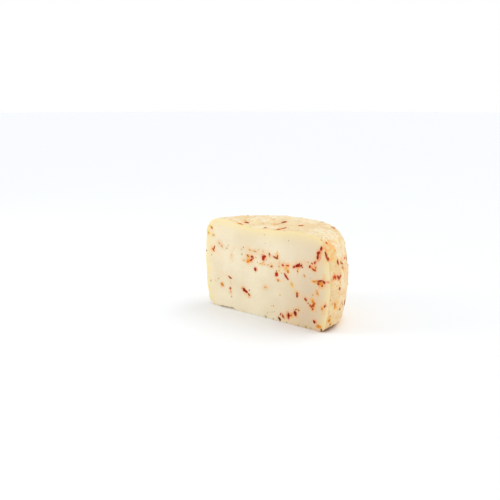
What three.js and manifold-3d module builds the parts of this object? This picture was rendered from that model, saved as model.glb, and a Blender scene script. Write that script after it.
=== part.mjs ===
// Half of a small sheep's-milk cheese wheel with chili flakes through its paste.
// The wheel was cut upright through its middle. The cut face looks along -Y, the rind bulges to +Y,
// X runs along the cut and +Z is up. The origin is on the base, half a radius behind the cut.
import * as THREE from 'three';
import { mergeVertices } from 'three/addons/utils/BufferGeometryUtils.js';
import Module from 'manifold-3d';

// ---------- Driving dimensions, in millimetres ----------

const WHEEL_RADIUS = 77.5;                          // the wheel is 155 across
const RIM_HEIGHT = 87;                              // from the base to the rim of the top
const CENTRE_HEIGHT = 84.2;                         // the top is dished towards its middle
const RIM_TILT = 1;                                 // the left rim is this much higher, the right one lower
const TOP_SHOULDER = 17.5;                          // radius of the soft upper edge
const BASE_SHOULDER = { right: 8, left: 10.5 };     // radius of the lower edge
const TOP_DRAW_IN = { right: 9.6, left: 3.8 };      // how far the wall draws in from mid height to the top
const BASE_DRAW_IN = { right: 6.4, left: 6 };       // and from mid height to the base
const DISH_START = { right: 0, left: 28 };          // radius where the dish begins to rise
const DISH_END = { right: 42, left: 44 };           // and where it has reached the rim

// Slow swells of the rind as rounded mounds: their height, and the spacing of the mounds.
const SWELLS = [
  { height: 0.36, spacing: 43 },
  { height: 0.26, spacing: 26 },
  { height: 0.22, spacing: 15 },
];
const SWELL_SKEW = { x: -0.4, y: 0.3, z: 0.2 };     // how much the rows of mounds slant
const SWELL_BEND = 0.9;                             // how far they bend, in radians
const SWELL_SHARES = { across: 0.6, up: 0.5 };      // how much of the height comes from each set of rows
const SWELL_FADE = 9;                               // swells die out over this height above the base

const NICK = { x: -45, length: 9, height: 1.8, depth: 3 };   // a crumb lost from the lower edge of the cut

const FLAKE_PROUD = 0.55;                           // a flake stands this far out of the surface
const FLAKE_ROOT = 1.3;                             // and reaches this far into the paste
const FLAKE_SIDES = 6;
const FLAKE_TOP = 0.78;                             // its upper outline, as a share of its lower one
const FLAKE_RAGGED = 0.22;                          // how uneven its outline is, as a share of its radius
const FLAKE_CROWN = { middle: 1.25, corner: [0.8, 1.1] };   // shares of FLAKE_PROUD at its middle and corners
const FLAKE_CLEAR_OF_BASE = 0.6;

// Flakes that the cut laid open: middle x and z, lean in degrees from level, length and width.
const CUT_FLAKES = [
  // the seam from the upper right shoulder down to the level of the middle
  { at: [66.5, 75], lean: 85, length: 4, width: 2.2 },
  { at: [63.5, 70.5], lean: 45, length: 4.8, width: 2 },
  { at: [63, 67], lean: 83, length: 5.8, width: 2 },
  { at: [72, 70], lean: -72, length: 6, width: 1.6 },
  { at: [73.5, 67], lean: -40, length: 3.4, width: 1.5 },
  { at: [59.5, 61.5], lean: 67, length: 2.4, width: 1.5 },
  { at: [54, 57], lean: -83, length: 2.8, width: 2 },
  { at: [58.5, 55], lean: -20, length: 5, width: 1.2 },
  { at: [60.5, 56.5], lean: -85, length: 3.6, width: 1.4 },
  // on along it to the left
  { at: [44.5, 56.5], lean: 5, length: 3, width: 1.8 },
  { at: [40, 56], lean: 15, length: 5.4, width: 2.4 },
  { at: [36.5, 54], lean: 28, length: 3.2, width: 1.6 },
  { at: [48, 48], lean: -25, length: 2.4, width: 1.5 },
  { at: [28.5, 54], lean: 4, length: 3.8, width: 1.4 },
  { at: [23, 53.5], lean: -25, length: 2.4, width: 1.7 },
  { at: [29, 49], lean: -58, length: 3, width: 2.6 },
  { at: [27, 43.5], lean: -44, length: 7, width: 1.9 },
  { at: [15.5, 43.5], lean: 86, length: 4.2, width: 3.6 },
  { at: [16.5, 60.5], lean: 88, length: 4, width: 1.6 },
  { at: [14, 59.5], lean: -18, length: 6, width: 1.5 },
  { at: [7, 61.5], lean: -65, length: 2.2, width: 1.9 },
  { at: [9.5, 50.5], lean: 32, length: 2.8, width: 1.5 },
  { at: [0.5, 58.5], lean: 12, length: 4.8, width: 2 },
  { at: [-1, 56], lean: -88, length: 4.2, width: 2.4 },
  { at: [-11, 44.5], lean: -55, length: 3.6, width: 3 },
  { at: [-15, 56], lean: -9, length: 3.2, width: 1.8 },
  { at: [-15.5, 53], lean: 45, length: 3, width: 1.8 },
  { at: [-20, 56], lean: -18, length: 3, width: 1.3 },
  { at: [-19, 52], lean: 83, length: 3.6, width: 2.4 },
  { at: [-11, 61.5], lean: -4, length: 4.2, width: 1.5 },
  { at: [-18, 62], lean: -18, length: 3.2, width: 1.3 },
  // its thin end at the far left
  { at: [-55, 61], lean: -48, length: 3.2, width: 1.6 },
  { at: [-58.5, 63], lean: -24, length: 2.6, width: 1.4 },
  { at: [-65, 58], lean: 66, length: 3.4, width: 1.5 },
  { at: [-66.5, 55.5], lean: -40, length: 3.6, width: 1.7 },
  { at: [-66, 70], lean: -23, length: 2.8, width: 1.5 },
  { at: [-68.5, 77], lean: -36, length: 2.6, width: 1.9 },
  { at: [-73, 71.5], lean: -62, length: 2.4, width: 1.8 },
  // the seam that runs out into the rind at the right
  { at: [59, 44.5], lean: -2, length: 2.8, width: 1.5 },
  { at: [63.5, 43.5], lean: 89, length: 3, width: 1.3 },
  { at: [65.5, 46], lean: 14, length: 5, width: 1.5 },
  { at: [66, 44], lean: -35, length: 3.8, width: 3.2 },
  { at: [70, 45.5], lean: -30, length: 3.8, width: 1.6 },
  // the seam at the lower right
  { at: [34, 37], lean: -65, length: 4.2, width: 1.8 },
  { at: [40, 30.5], lean: -70, length: 2.2, width: 1.8 },
  { at: [40, 28], lean: -80, length: 3.4, width: 2.1 },
  { at: [50, 26.5], lean: -37, length: 3.2, width: 2.1 },
  { at: [58, 26.5], lean: -55, length: 3.2, width: 1.7 },
  { at: [59, 23], lean: 54, length: 5.2, width: 1.9 },
  { at: [56, 21.5], lean: -35, length: 4.6, width: 1.7 },
  { at: [63, 34], lean: -76, length: 2.8, width: 1.7 },
  { at: [68.5, 21.5], lean: 85, length: 2.8, width: 2.4 },
  { at: [71.5, 24.5], lean: 47, length: 3, width: 1.6 },
  // along the base
  { at: [19.5, 2.6], lean: -40, length: 4, width: 1.8 },
  { at: [23.5, 6], lean: -50, length: 3.6, width: 2.2 },
  { at: [30, 7.5], lean: -86, length: 4.8, width: 2.3 },
  { at: [33.5, 8.5], lean: -64, length: 2.8, width: 2 },
  { at: [38, 11.5], lean: -32, length: 4.2, width: 3.4 },
  { at: [42, 15], lean: -38, length: 2.4, width: 1.3 },
  { at: [60, 8], lean: -61, length: 3, width: 2.1 },
  { at: [65.5, 4.5], lean: -84, length: 3.6, width: 3.3 },
  // lone flakes in the lower left
  { at: [-43.5, 31], lean: -18, length: 4.6, width: 1.6 },
  { at: [-54.5, 22.5], lean: -45, length: 3.6, width: 3 },
  { at: [-43.5, 20.5], lean: -80, length: 2.2, width: 1.9 },
  { at: [-43, 17], lean: -75, length: 2.2, width: 1.8 },
  { at: [-25, 22.5], lean: -40, length: 3.8, width: 3.4 },
  { at: [-22.5, 21], lean: -25, length: 3.8, width: 2 },
  { at: [-18.5, 18.5], lean: -21, length: 2.8, width: 1.8 },
  { at: [2, 29.5], lean: 6, length: 3.8, width: 1.8 },
];

// Flakes in the wall of the rind near the cut, by their turn from the cut in degrees and their height.
const WALL_FLAKES = [
  { at: [2.2, 80], lean: -78, length: 2.4, width: 2 },
  { at: [10.5, 61.5], lean: -70, length: 4.8, width: 2.2 },
  { at: [16, 60], lean: -30, length: 4.8, width: 1.8 },
  { at: [24.5, 62], lean: -8, length: 5, width: 1.6 },
  { at: [18.5, 54.5], lean: -77, length: 4.6, width: 2.6 },
  { at: [3.6, 50], lean: 46, length: 3.4, width: 1.9 },
  { at: [5.6, 50], lean: -59, length: 3.4, width: 1.9 },
  { at: [9, 49], lean: -47, length: 4.6, width: 2.2 },
  { at: [12, 49], lean: 19, length: 4.6, width: 2 },
  { at: [10.5, 38.5], lean: -47, length: 2.6, width: 2.3 },
  { at: [7, 23.5], lean: -70, length: 6, width: 2.4 },
  { at: [19.5, 22.5], lean: -43, length: 3.6, width: 1.8 },
  { at: [16.5, 17.5], lean: -38, length: 2.8, width: 1.8 },
  { at: [2.5, 11], lean: -49, length: 3.6, width: 2.6 },
];

// Flakes in the top of the rind near the cut, by x and by the distance behind the cut.
const TOP_FLAKES = [
  { at: [-32, 2], lean: 10, length: 5, width: 2 },
  { at: [-31, 10], lean: 32, length: 4, width: 3 },
  { at: [-35.5, 13], lean: 4, length: 2.6, width: 2 },
  { at: [-2, 4], lean: 87, length: 3.6, width: 2.4 },
  { at: [14.5, 3.5], lean: 64, length: 4.4, width: 3 },
  { at: [10.5, 11], lean: -65, length: 9, width: 2.4 },
  { at: [-3, 32], lean: 77, length: 5, width: 3.4 },
  { at: [-6, 22.5], lean: -36, length: 5, width: 2 },
  { at: [22, 26], lean: 19, length: 5, width: 2.8 },
];

// The rest of the rind has flakes at an even spread, from the turn where the ones above end.
const WALL_SPREAD = { flakes: 46, from: 26, to: 176, lowest: 9, highest: 74 };
const TOP_SPREAD = { flakes: 9, inner: 56, outer: 68, from: 40, to: 176 };
const SPREAD_LENGTH = [2.6, 6];
const SPREAD_WIDTH = { share: 0.45, least: 1.8 };   // of the length
const SPREAD_START = 0.17;                          // where the golden steps begin

// Mesh steps: round the half wheel, and along its profile from the base to the middle of the top.
const TURN_STEPS = 46;
const PROFILE_STEPS = { base: 1, baseShoulder: 5, wall: 12, topShoulder: 7, top: 11 };

const SEED_OF_PLACES = 2718;
const SEED_OF_OUTLINES = 1618;
const GOLDEN_SHARE = (Math.sqrt(5) - 1) / 2;
const RAY_START = 400;                              // well outside the cheese
const LEVEL_ENOUGH = 0.9;                           // a normal this far up or down belongs to the top

// ---------- Helpers ----------

// A repeatable stream of numbers from 0 to 1.
function seededDraws(seed) {
  let state = seed >>> 0;
  return () => {
    state = (state + 0x6d2b79f5) >>> 0;
    let mixed = Math.imul(state ^ (state >>> 15), state | 1);
    mixed ^= mixed + Math.imul(mixed ^ (mixed >>> 7), mixed | 61);
    return ((mixed ^ (mixed >>> 14)) >>> 0) / 4294967296;
  };
}

function drawBetween([low, high], draw) {
  return low + (high - low) * draw();
}

// A value that goes from its right one at turn 0 to its left one at half a turn.
function between(sides, turn) {
  const towardsRight = 0.5 + 0.5 * Math.cos(turn);
  return sides.left + (sides.right - sides.left) * towardsRight;
}

function swell(x, y, z) {
  const slanted = [x + SWELL_SKEW.y * y, y + SWELL_SKEW.x * x, z + SWELL_SKEW.z * x];
  const mounds = ({ height, spacing }) => {
    const [a, b, c] = slanted.map((distance) => (2 * Math.PI * distance) / spacing);
    const across = Math.sin(a + SWELL_BEND * Math.sin(b)) * Math.cos(b - SWELL_BEND * Math.sin(c));
    const up = Math.sin(c + SWELL_BEND * Math.cos(a));
    return height * (SWELL_SHARES.across * across + SWELL_SHARES.up * up);
  };
  return THREE.MathUtils.smoothstep(z, 0, SWELL_FADE) * SWELLS.reduce((sum, one) => sum + mounds(one), 0);
}

// ---------- The half wheel ----------

// Radius of the barrel-shaped wall at a height.
function wallRadius(z, turn) {
  const fromMiddle = (2 * z) / RIM_HEIGHT - 1;
  const drawIn = between(fromMiddle > 0 ? TOP_DRAW_IN : BASE_DRAW_IN, turn);
  return WHEEL_RADIUS - drawIn * fromMiddle ** 2;
}

function topHeight(r, turn) {
  const rise = THREE.MathUtils.smoothstep(r, between(DISH_START, turn), between(DISH_END, turn));
  return CENTRE_HEIGHT + (RIM_HEIGHT - CENTRE_HEIGHT) * rise;
}

// The profile at a turn as [radius, height, outward radius share, outward height share] rows,
// from the middle of the base to the middle of the top.
function profile(turn) {
  const rows = [];
  const steps = (count, row) => {
    for (let i = 1; i <= count; i++) rows.push(row(i / count));
  };
  const low = between(BASE_SHOULDER, turn);
  const baseEdge = wallRadius(low, turn) - low;
  const wallTop = RIM_HEIGHT - TOP_SHOULDER;
  const topEdge = wallRadius(wallTop, turn) - TOP_SHOULDER;
  const quarter = Math.PI / 2;
  steps(PROFILE_STEPS.base, (t) => [baseEdge * t, 0, 0, -1]);
  steps(PROFILE_STEPS.baseShoulder, (t) => {
    const [out, down] = [Math.sin(quarter * t), Math.cos(quarter * t)];
    return [baseEdge + low * out, low - low * down, out, -down];
  });
  steps(PROFILE_STEPS.wall, (t) => {
    const z = low + (wallTop - low) * t;
    return [wallRadius(z, turn), z, 1, 0];
  });
  steps(PROFILE_STEPS.topShoulder, (t) => {
    const [out, up] = [Math.cos(quarter * t), Math.sin(quarter * t)];
    return [topEdge + TOP_SHOULDER * out, wallTop + TOP_SHOULDER * up, out, up];
  });
  steps(PROFILE_STEPS.top, (t) => [topEdge * (1 - t), topHeight(topEdge * (1 - t), turn), 0, 1]);
  return rows;
}

// A profile row as a point, with the rim's tilt and the rind's swells.
function rindPoint([r, z, out, up], turn) {
  const [x, y] = [r * Math.cos(turn), r * Math.sin(turn)];
  const raise = swell(x, y, z);
  const tilted = z - (RIM_TILT * (x / WHEEL_RADIUS) * z) / RIM_HEIGHT;
  const radius = r + out * raise;
  return [radius * Math.cos(turn), radius * Math.sin(turn), tilted + up * raise];
}

function wheelGeometry() {
  const points = [[0, 0, 0]];
  const faces = [];
  const rings = [];
  for (let column = 0; column <= TURN_STEPS; column++) {
    const turn = (Math.PI * column) / TURN_STEPS;
    const onCut = column === 0 || column === TURN_STEPS;
    const ring = profile(turn).slice(0, -1).map((row) => rindPoint(row, turn));
    if (onCut) ring.forEach((point) => { point[1] = 0; });
    rings.push(ring.map((point) => points.push(point) - 1));
  }
  const middleRow = [0, topHeight(0, 0), 0, 1];
  const top = points.push(rindPoint(middleRow, 0)) - 1;
  for (let column = 0; column < TURN_STEPS; column++) {
    const [here, next] = [rings[column], rings[column + 1]];
    faces.push([0, next[0], here[0]]);
    for (let i = 0; i + 1 < here.length; i++) {
      faces.push([here[i], next[i], next[i + 1]], [here[i], next[i + 1], here[i + 1]]);
    }
    faces.push([here.at(-1), next.at(-1), top]);
  }
  // The cut face closes the half wheel between the first profile and the last.
  const border = [0, ...rings[0], top, ...rings[TURN_STEPS].slice().reverse()];
  const outline = border.map((i) => new THREE.Vector2(points[i][0], points[i][2]));
  for (const [a, b, c] of THREE.ShapeUtils.triangulateShape(outline, [])) {
    faces.push([border[a], border[b], border[c]]);
  }
  const geometry = new THREE.BufferGeometry();
  geometry.setAttribute('position', new THREE.Float32BufferAttribute(points.flat(), 3));
  geometry.setIndex(faces.flat());
  return geometry;
}

// The crumb that is missing from the lower edge of the cut.
function nickGeometry() {
  return new THREE.SphereGeometry(0.5, 9, 6)
    .scale(NICK.length, 2 * NICK.depth, 2 * NICK.height)
    .translate(NICK.x, 0, 0);
}

// ---------- Chili flakes ----------

// One ragged flake with its root in the paste: local Z points out of the surface, X along its length.
function flakeGeometry(length, width, draw) {
  const chip = new THREE.CylinderGeometry(FLAKE_TOP / 2, 0.5, 1, FLAKE_SIDES).rotateX(Math.PI / 2);
  chip.deleteAttribute('normal');
  chip.deleteAttribute('uv');
  const merged = mergeVertices(chip);
  const position = merged.getAttribute('position');
  const raggedRange = [1 - FLAKE_RAGGED, 1 + FLAKE_RAGGED];
  const ragged = Array.from({ length: FLAKE_SIDES }, () => drawBetween(raggedRange, draw));
  for (let i = 0; i < position.count; i++) {
    const [x, y, z] = [position.getX(i), position.getY(i), position.getZ(i)];
    const side = Math.round((Math.atan2(y, x) / (2 * Math.PI) + 1) * FLAKE_SIDES) % FLAKE_SIDES;
    const inMiddle = Math.hypot(x, y) < FLAKE_TOP / 4;
    const crown = inMiddle ? FLAKE_CROWN.middle : drawBetween(FLAKE_CROWN.corner, draw);
    const level = z > 0 ? FLAKE_PROUD * crown : -FLAKE_ROOT;
    position.setXYZ(i, x * length * ragged[side], y * width * ragged[side], level);
  }
  return merged;
}

// Where a ray meets the bare cheese, with the surface's normal there.
function footing(cheese, from, towards) {
  const direction = new THREE.Vector3(...towards).normalize();
  const start = new THREE.Vector3(...from).addScaledVector(direction, -RAY_START);
  const [hit] = new THREE.Raycaster(start, direction).intersectObject(cheese);
  return hit && { point: hit.point, normal: hit.face.normal };
}

function fromTheFront(cheese, [x, z]) {
  return footing(cheese, [x, 0, z], [0, 1, 0]);
}

function fromTheSide(cheese, [turnDegrees, z]) {
  const turn = THREE.MathUtils.degToRad(turnDegrees);
  return footing(cheese, [0, 0, z], [-Math.cos(turn), -Math.sin(turn), 0]);
}

function fromAbove(cheese, [x, y]) {
  return footing(cheese, [x, y, 0], [0, 0, -1]);
}

// The flake's own geometry turned and moved onto its footing. Lean 0 lies level on an upright face
// and along X on the top.
function settledFlake({ point, normal }, { lean, length, width }, draw) {
  const guide = Math.abs(normal.z) < LEVEL_ENOUGH ? new THREE.Vector3(0, 0, 1) : new THREE.Vector3(0, 1, 0);
  const level = new THREE.Vector3().crossVectors(guide, normal).normalize();
  const across = new THREE.Vector3().crossVectors(normal, level);
  const place = new THREE.Matrix4().makeBasis(level, across, normal).setPosition(point);
  return flakeGeometry(length, width, draw).rotateZ(THREE.MathUtils.degToRad(lean)).applyMatrix4(place);
}

// Places at an even spread: each next one is a golden share further on in one direction,
// and one even step further in the other.
function spreadPlaces(find, count, coordinates, draw) {
  return Array.from({ length: count }, (_, i) => {
    const at = coordinates((i * GOLDEN_SHARE + SPREAD_START) % 1, (i + 0.5) / count);
    const length = drawBetween(SPREAD_LENGTH, () => draw() ** 2);
    const width = Math.max(SPREAD_WIDTH.share * length, SPREAD_WIDTH.least);
    return { find, at, lean: 180 * draw(), length, width };
  });
}

function allPlaces() {
  const draw = seededDraws(SEED_OF_PLACES);
  const { lerp } = THREE.MathUtils;
  const seen = (flakes, find) => flakes.map((flake) => ({ find, ...flake }));
  const wallPlace = (a, b) => [
    lerp(WALL_SPREAD.from, WALL_SPREAD.to, b),
    lerp(WALL_SPREAD.lowest, WALL_SPREAD.highest, a),
  ];
  const topPlace = (a, b) => {
    const turn = THREE.MathUtils.degToRad(lerp(TOP_SPREAD.from, TOP_SPREAD.to, a));
    const radius = lerp(TOP_SPREAD.inner, TOP_SPREAD.outer, Math.sqrt(b));
    return [radius * Math.cos(turn), radius * Math.sin(turn)];
  };
  return [
    ...seen(CUT_FLAKES, fromTheFront),
    ...seen(WALL_FLAKES, fromTheSide),
    ...seen(TOP_FLAKES, fromAbove),
    ...spreadPlaces(fromTheSide, WALL_SPREAD.flakes, wallPlace, draw),
    ...spreadPlaces(fromAbove, TOP_SPREAD.flakes, topPlace, draw),
  ];
}

function allFlakes(cheese) {
  const draw = seededDraws(SEED_OF_OUTLINES);
  return allPlaces().flatMap((place) => {
    const foot = place.find(cheese, place.at);
    return foot ? [settledFlake(foot, place, draw)] : [];
  });
}

// ---------- Joining ----------

const wasm = await Module();
wasm.setup();

function solidOf(geometry) {
  const bare = geometry.clone();
  bare.deleteAttribute('normal');
  bare.deleteAttribute('uv');
  const merged = mergeVertices(bare);
  const vertProperties = new Float32Array(merged.getAttribute('position').array);
  const triVerts = new Uint32Array(merged.index.array);
  return new wasm.Manifold(new wasm.Mesh({ numProp: 3, vertProperties, triVerts }));
}

function geometryOf(solid) {
  const { vertProperties, triVerts } = solid.getMesh();
  const indexed = new THREE.BufferGeometry();
  indexed.setAttribute('position', new THREE.BufferAttribute(vertProperties, 3));
  indexed.setIndex(new THREE.BufferAttribute(triVerts, 1));
  const flat = indexed.toNonIndexed();
  flat.computeVertexNormals();
  return flat;
}

function chiliCheeseHalf() {
  const bare = wheelGeometry();
  const cheese = new THREE.Mesh(bare, new THREE.MeshBasicMaterial({ side: THREE.DoubleSide }));
  const clearOfBase = (flake) => {
    flake.computeBoundingBox();
    return flake.boundingBox.min.z > FLAKE_CLEAR_OF_BASE;
  };
  const nicked = solidOf(bare).subtract(solidOf(nickGeometry()));
  const joined = allFlakes(cheese)
    .filter(clearOfBase)
    .reduce((body, flake) => body.add(solidOf(flake)), nicked);
  const paste = new THREE.MeshStandardMaterial({ color: 0xf3e6c0, roughness: 0.5, metalness: 0 });
  const mesh = new THREE.Mesh(geometryOf(joined), paste);
  mesh.name = 'half_wheel';
  mesh.position.y = -WHEEL_RADIUS / 2;
  return mesh;
}

const cheeseHalf = new THREE.Group();
cheeseHalf.add(chiliCheeseHalf());

export default cheeseHalf;
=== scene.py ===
"""Looks of half a small sheep's-milk cheese wheel with chili flakes through its paste.

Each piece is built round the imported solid, in the same frame: the cut face looks along -Y, the rind
bulges to +Y and the base stands on Z = 0. Places on the cheese are given in millimetres from the
wheel's axis, as x and height on the cut, turn and height on the wall, and x and y on the top.
"""

import math

import bpy
import numpy as np
from bpy.props import FloatProperty, FloatVectorProperty, IntProperty, PointerProperty
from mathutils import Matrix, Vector
from mathutils.bvhtree import BVHTree


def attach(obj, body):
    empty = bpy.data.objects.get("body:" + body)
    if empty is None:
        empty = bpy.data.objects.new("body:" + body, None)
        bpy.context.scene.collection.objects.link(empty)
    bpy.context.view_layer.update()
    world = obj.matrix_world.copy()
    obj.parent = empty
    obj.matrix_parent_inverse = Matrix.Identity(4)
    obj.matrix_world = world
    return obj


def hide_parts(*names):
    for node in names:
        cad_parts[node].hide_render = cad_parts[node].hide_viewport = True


bl_info = {
    "name": "Chili cheese half wheel",
    "version": (1, 0, 0),
    "blender": (4, 5, 0),
    "location": "View3D > Sidebar > Cheese",
    "description": "Builds half a small cheese wheel with chili flakes, on a plain pale stage",
    "category": "Add Mesh",
}

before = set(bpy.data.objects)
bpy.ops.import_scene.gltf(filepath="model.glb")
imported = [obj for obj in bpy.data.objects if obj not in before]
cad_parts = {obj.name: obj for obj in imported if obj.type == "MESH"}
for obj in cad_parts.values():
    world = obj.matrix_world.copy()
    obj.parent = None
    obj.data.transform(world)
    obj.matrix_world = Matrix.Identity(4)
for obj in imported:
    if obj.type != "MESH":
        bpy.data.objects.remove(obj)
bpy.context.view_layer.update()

MM = 0.001
RIGHTWARDS = Vector((1, 0, 0))
BACKWARDS = Vector((0, 1, 0))
UPWARDS = Vector((0, 0, 1))
UNSTRETCHED = (1, 1, 1)

# ---------- How the wheel departs from a plain drum, in millimetres ----------

RIM_TILT = 1.0                                  # the left rim is this much higher, the right one lower
BASE_SHOULDER = {"right": 8.0, "left": 10.5}    # radius of the lower edge
BLANK_SHOULDER = (BASE_SHOULDER["right"] + BASE_SHOULDER["left"]) / 2     # and of the drum's
SHOULDER_FADE = {"in": 4, "up": 3}              # how far in and up the change of its radius reaches
TOP_DRAW_IN = {"right": 9.6, "left": 3.8}       # how far the wall draws in towards the top
BASE_DRAW_IN = {"right": 6.4, "left": 6.0}      # and towards the base
DISH_START = {"right": 0.0, "left": 28.0}       # radius where the dish in the top begins to rise
DISH_END = {"right": 42.0, "left": 44.0}        # and where it has reached the rim
SWELLS = ((0.36, 43.0), (0.26, 26.0), (0.22, 15.0))     # height and spacing of the rind's slow mounds
SWELL_SKEW = {"x": -0.4, "y": 0.3, "z": 0.2}    # how they slant, so that they don't line up
SWELL_BEND = 0.9
SWELL_SHARES = {"across": 0.6, "up": 0.5}
SWELL_FADE = 9.0                                # they fade out below this height
SWELL_REACH = 14.0                              # how deep below the rind the mounds still move the cut
RIM_BAND = {"width": 7.0, "fall": 1.5}          # the yellower paste inside the rind, and how fast it ends
CHIPS = (                                       # crumbs lost from the lower edge of the cut
    {"x": -45.0, "length": 9.0, "height": 1.8, "depth": 3.0},
    {"x": -49.0, "length": 19.0, "height": 0.7, "depth": 1.6},
)

# The drum that the wheel is shaped from.
DRUM_SIDES = 192
EDGE_STEPS = {"top": 14, "base": 8}
CHIP_BALL = {"segments": 32, "ring_count": 16}
SAME_LEVEL = 1e-5                               # in metres
NO_LENGTH = 1e-6                                # stands for 0 where a direction is divided by it

# Small relief: noise with lumps of a spacing in millimetres, centred on 0, or faded in over a window.
LUMPS = {"spacing": 8.0, "seed": 11}
KNOBS = {"spacing": 3.6, "stretch": (1, 1, 1.4), "seed": 12}
PITS = {"spacing": 2.7, "seed": 13, "window": (0.60, 0.95)}
ROUGH_PATCHES = {"spacing": 26.0, "seed": 14, "window": (0.45, 0.75)}
ROUGH_PLACE = {"x": 52, "y": 22, "radius": 18}  # the top is rough here in any case
KNIFE_WAVES = {"spacing": 15.0, "stretch": (0.55, 1, 1), "seed": 21}
KNIFE_TEARS = {"spacing": 3.4, "stretch": (1, 1, 2.2), "seed": 22, "window": (0.80, 0.97)}
RIND_SHARES = {"lumps": 0.7, "knobs": 0.55, "pits": 0.35, "pits in rough patches": 0.75}
TEAR_SHARE = 1.1
CLEAR_OF_BASE = (0.3, 4)                        # the relief fades out between these heights

# Zones for the colours: spans of a depth, a height, a place or a share of a direction.
CUT_SKIN = (-1.2, -0.25)                        # -y of the blank, from behind the cut's skin into it
CUT_FACING = (0.35, 0.9)                        # how squarely the surface faces the front on the cut
TOP_FACING = (0.75, 0.97)                       # how squarely the rind faces up on the top
# The paste deepens towards the right, and less so higher up: partly its own tone near the rind, partly
# painted shade of the light falling off away from the left lamp.
PASTE_DEEPENING_AND_SHADE = {"x": (12, 55), "height": (20, 70), "less above": 0.42}
DEEP_WALL = {"below rim": (14, 2), "foot": (0, 45), "even share": 0.35, "foot share": 0.65}
MOULD_PRINT = {"below rim": (18, 8), "x": (22, 52), "slant": 0.2}

# ---------- Chili flakes, in millimetres and degrees ----------

# Flakes laid open by the cut: tone, x, height, lean, length, width.
CUT_FLAKES = (
    # the seam from the upper right shoulder down to the level of the middle
    ("dark", 66.5, 75, 85, 4.0, 2.2),
    ("dark", 63.5, 70.5, 45, 4.8, 2.6),
    ("dark", 62.8, 67.2, 80, 5.8, 2.0),
    ("red_brown", 71.8, 70.4, -70, 6.6, 2.3),
    ("red_brown", 73.5, 67.3, -50, 4.6, 2.2),
    ("red", 59.5, 61.5, 67, 2.4, 1.5),
    ("red", 54, 57, -83, 3.0, 2.0),
    ("red_brown", 58.5, 55, -20, 5.0, 1.2),
    ("orange", 60.5, 56.5, -85, 3.6, 1.4),
    # on along it to the left
    ("red_brown", 44.5, 56.5, 5, 3.0, 1.8),
    ("dark", 40, 56, 15, 5.4, 2.4),
    ("red", 36.5, 54, 28, 3.2, 1.6),
    ("tan", 48, 48, -25, 2.4, 1.6),
    ("orange_red", 28.5, 54, 4, 3.6, 1.2),
    ("red", 23, 53.5, -25, 2.4, 1.7),
    ("orange", 29, 49, -58, 3.4, 3.0),
    ("dark", 27, 43.5, -44, 7.0, 1.9),
    ("red", 15.5, 43.5, 86, 4.2, 3.6),
    ("brown", 16.5, 60.5, 88, 4.0, 1.6),
    ("red_brown", 14, 59.5, -18, 6.0, 1.7),
    ("red_brown", 7, 61.5, -65, 2.0, 1.6),
    ("orange_red", 9.5, 50.5, 32, 2.6, 1.3),
    ("dark", 0.6, 58.5, 12, 5.2, 1.9),
    ("red", -0.9, 56.4, -88, 4.8, 3.4),
    ("red", -11, 44.5, -55, 3.6, 3.0),
    ("dark", -15, 56, -9, 3.2, 1.8),
    ("red", -16, 52.8, 40, 4.2, 1.8),
    ("brown", -20, 56, -18, 3.2, 1.2),
    ("orange", -19.4, 51.2, 40, 4.0, 3.0),
    ("tan", -11, 61.5, -4, 4.2, 1.5),
    ("tan", -18, 62, -18, 3.2, 1.3),
    # its thin end at the far left
    ("tan", -55, 61, -48, 3.2, 1.5),
    ("tan", -58.5, 63, -24, 2.6, 1.4),
    ("red_brown", -65, 58, 66, 3.4, 1.3),
    ("orange_red", -66.5, 55.5, -40, 3.6, 1.4),
    ("ochre", -66, 70, -23, 2.8, 1.5),
    ("orange", -68.5, 77, -36, 2.6, 1.9),
    ("ochre", -73, 71.5, -62, 2.4, 1.8),
    # the seam that runs out into the rind at the right
    ("orange", 59, 44.5, -2, 2.8, 1.5),
    ("red_brown", 63.5, 43.5, 89, 3.0, 1.3),
    ("dark", 65.5, 46, 14, 5.0, 1.5),
    ("orange", 66, 44, -35, 3.8, 3.2),
    ("dark", 70, 45.5, -30, 3.8, 1.6),
    # the seam at the lower right
    ("ochre", 34, 37, -65, 4.2, 1.8),
    ("orange_red", 40, 30.5, -70, 2.2, 1.8),
    ("red_brown", 40, 28, -80, 3.4, 2.1),
    ("red_brown", 50, 26.5, -37, 3.2, 2.1),
    ("orange", 58, 26.5, -55, 3.8, 2.3),
    ("orange_red", 59, 23, 54, 5.2, 1.9),
    ("red_brown", 56, 21.5, -35, 4.6, 1.7),
    ("orange", 63, 34, -76, 2.8, 1.7),
    ("orange", 68.5, 21.5, 85, 2.8, 2.4),
    ("red_brown", 71.5, 24.5, 47, 3.0, 1.6),
    # along the base
    ("black", 19.5, 2.6, -40, 4.2, 2.0),
    ("red_brown", 23.5, 6, -50, 3.8, 2.2),
    ("dark", 30, 7.5, -86, 4.8, 2.3),
    ("orange", 33.5, 8.5, -64, 2.8, 2.0),
    ("dark", 38, 11.5, -32, 4.2, 3.4),
    ("brown", 42, 15, -38, 2.4, 1.3),
    ("dark", 60, 8, -61, 3.0, 2.1),
    ("orange", 65.3, 4.4, -10, 4.6, 3.2),
    # lone flakes in the lower left
    ("red_brown", -43.5, 31, -18, 4.4, 1.7),
    ("orange", -54.5, 22.5, -45, 3.6, 3.0),
    ("red_brown", -43.5, 20.5, -80, 2.2, 1.9),
    ("tan", -43, 17, -75, 2.2, 1.8),
    ("dark", -25, 22.5, -40, 4.2, 3.7),
    ("dark", -22.5, 21.2, -25, 3.4, 1.9),
    ("brown", -18.5, 18.5, -21, 2.8, 1.8),
    ("tan", 2, 29.5, 6, 3.8, 1.6),
)

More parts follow.
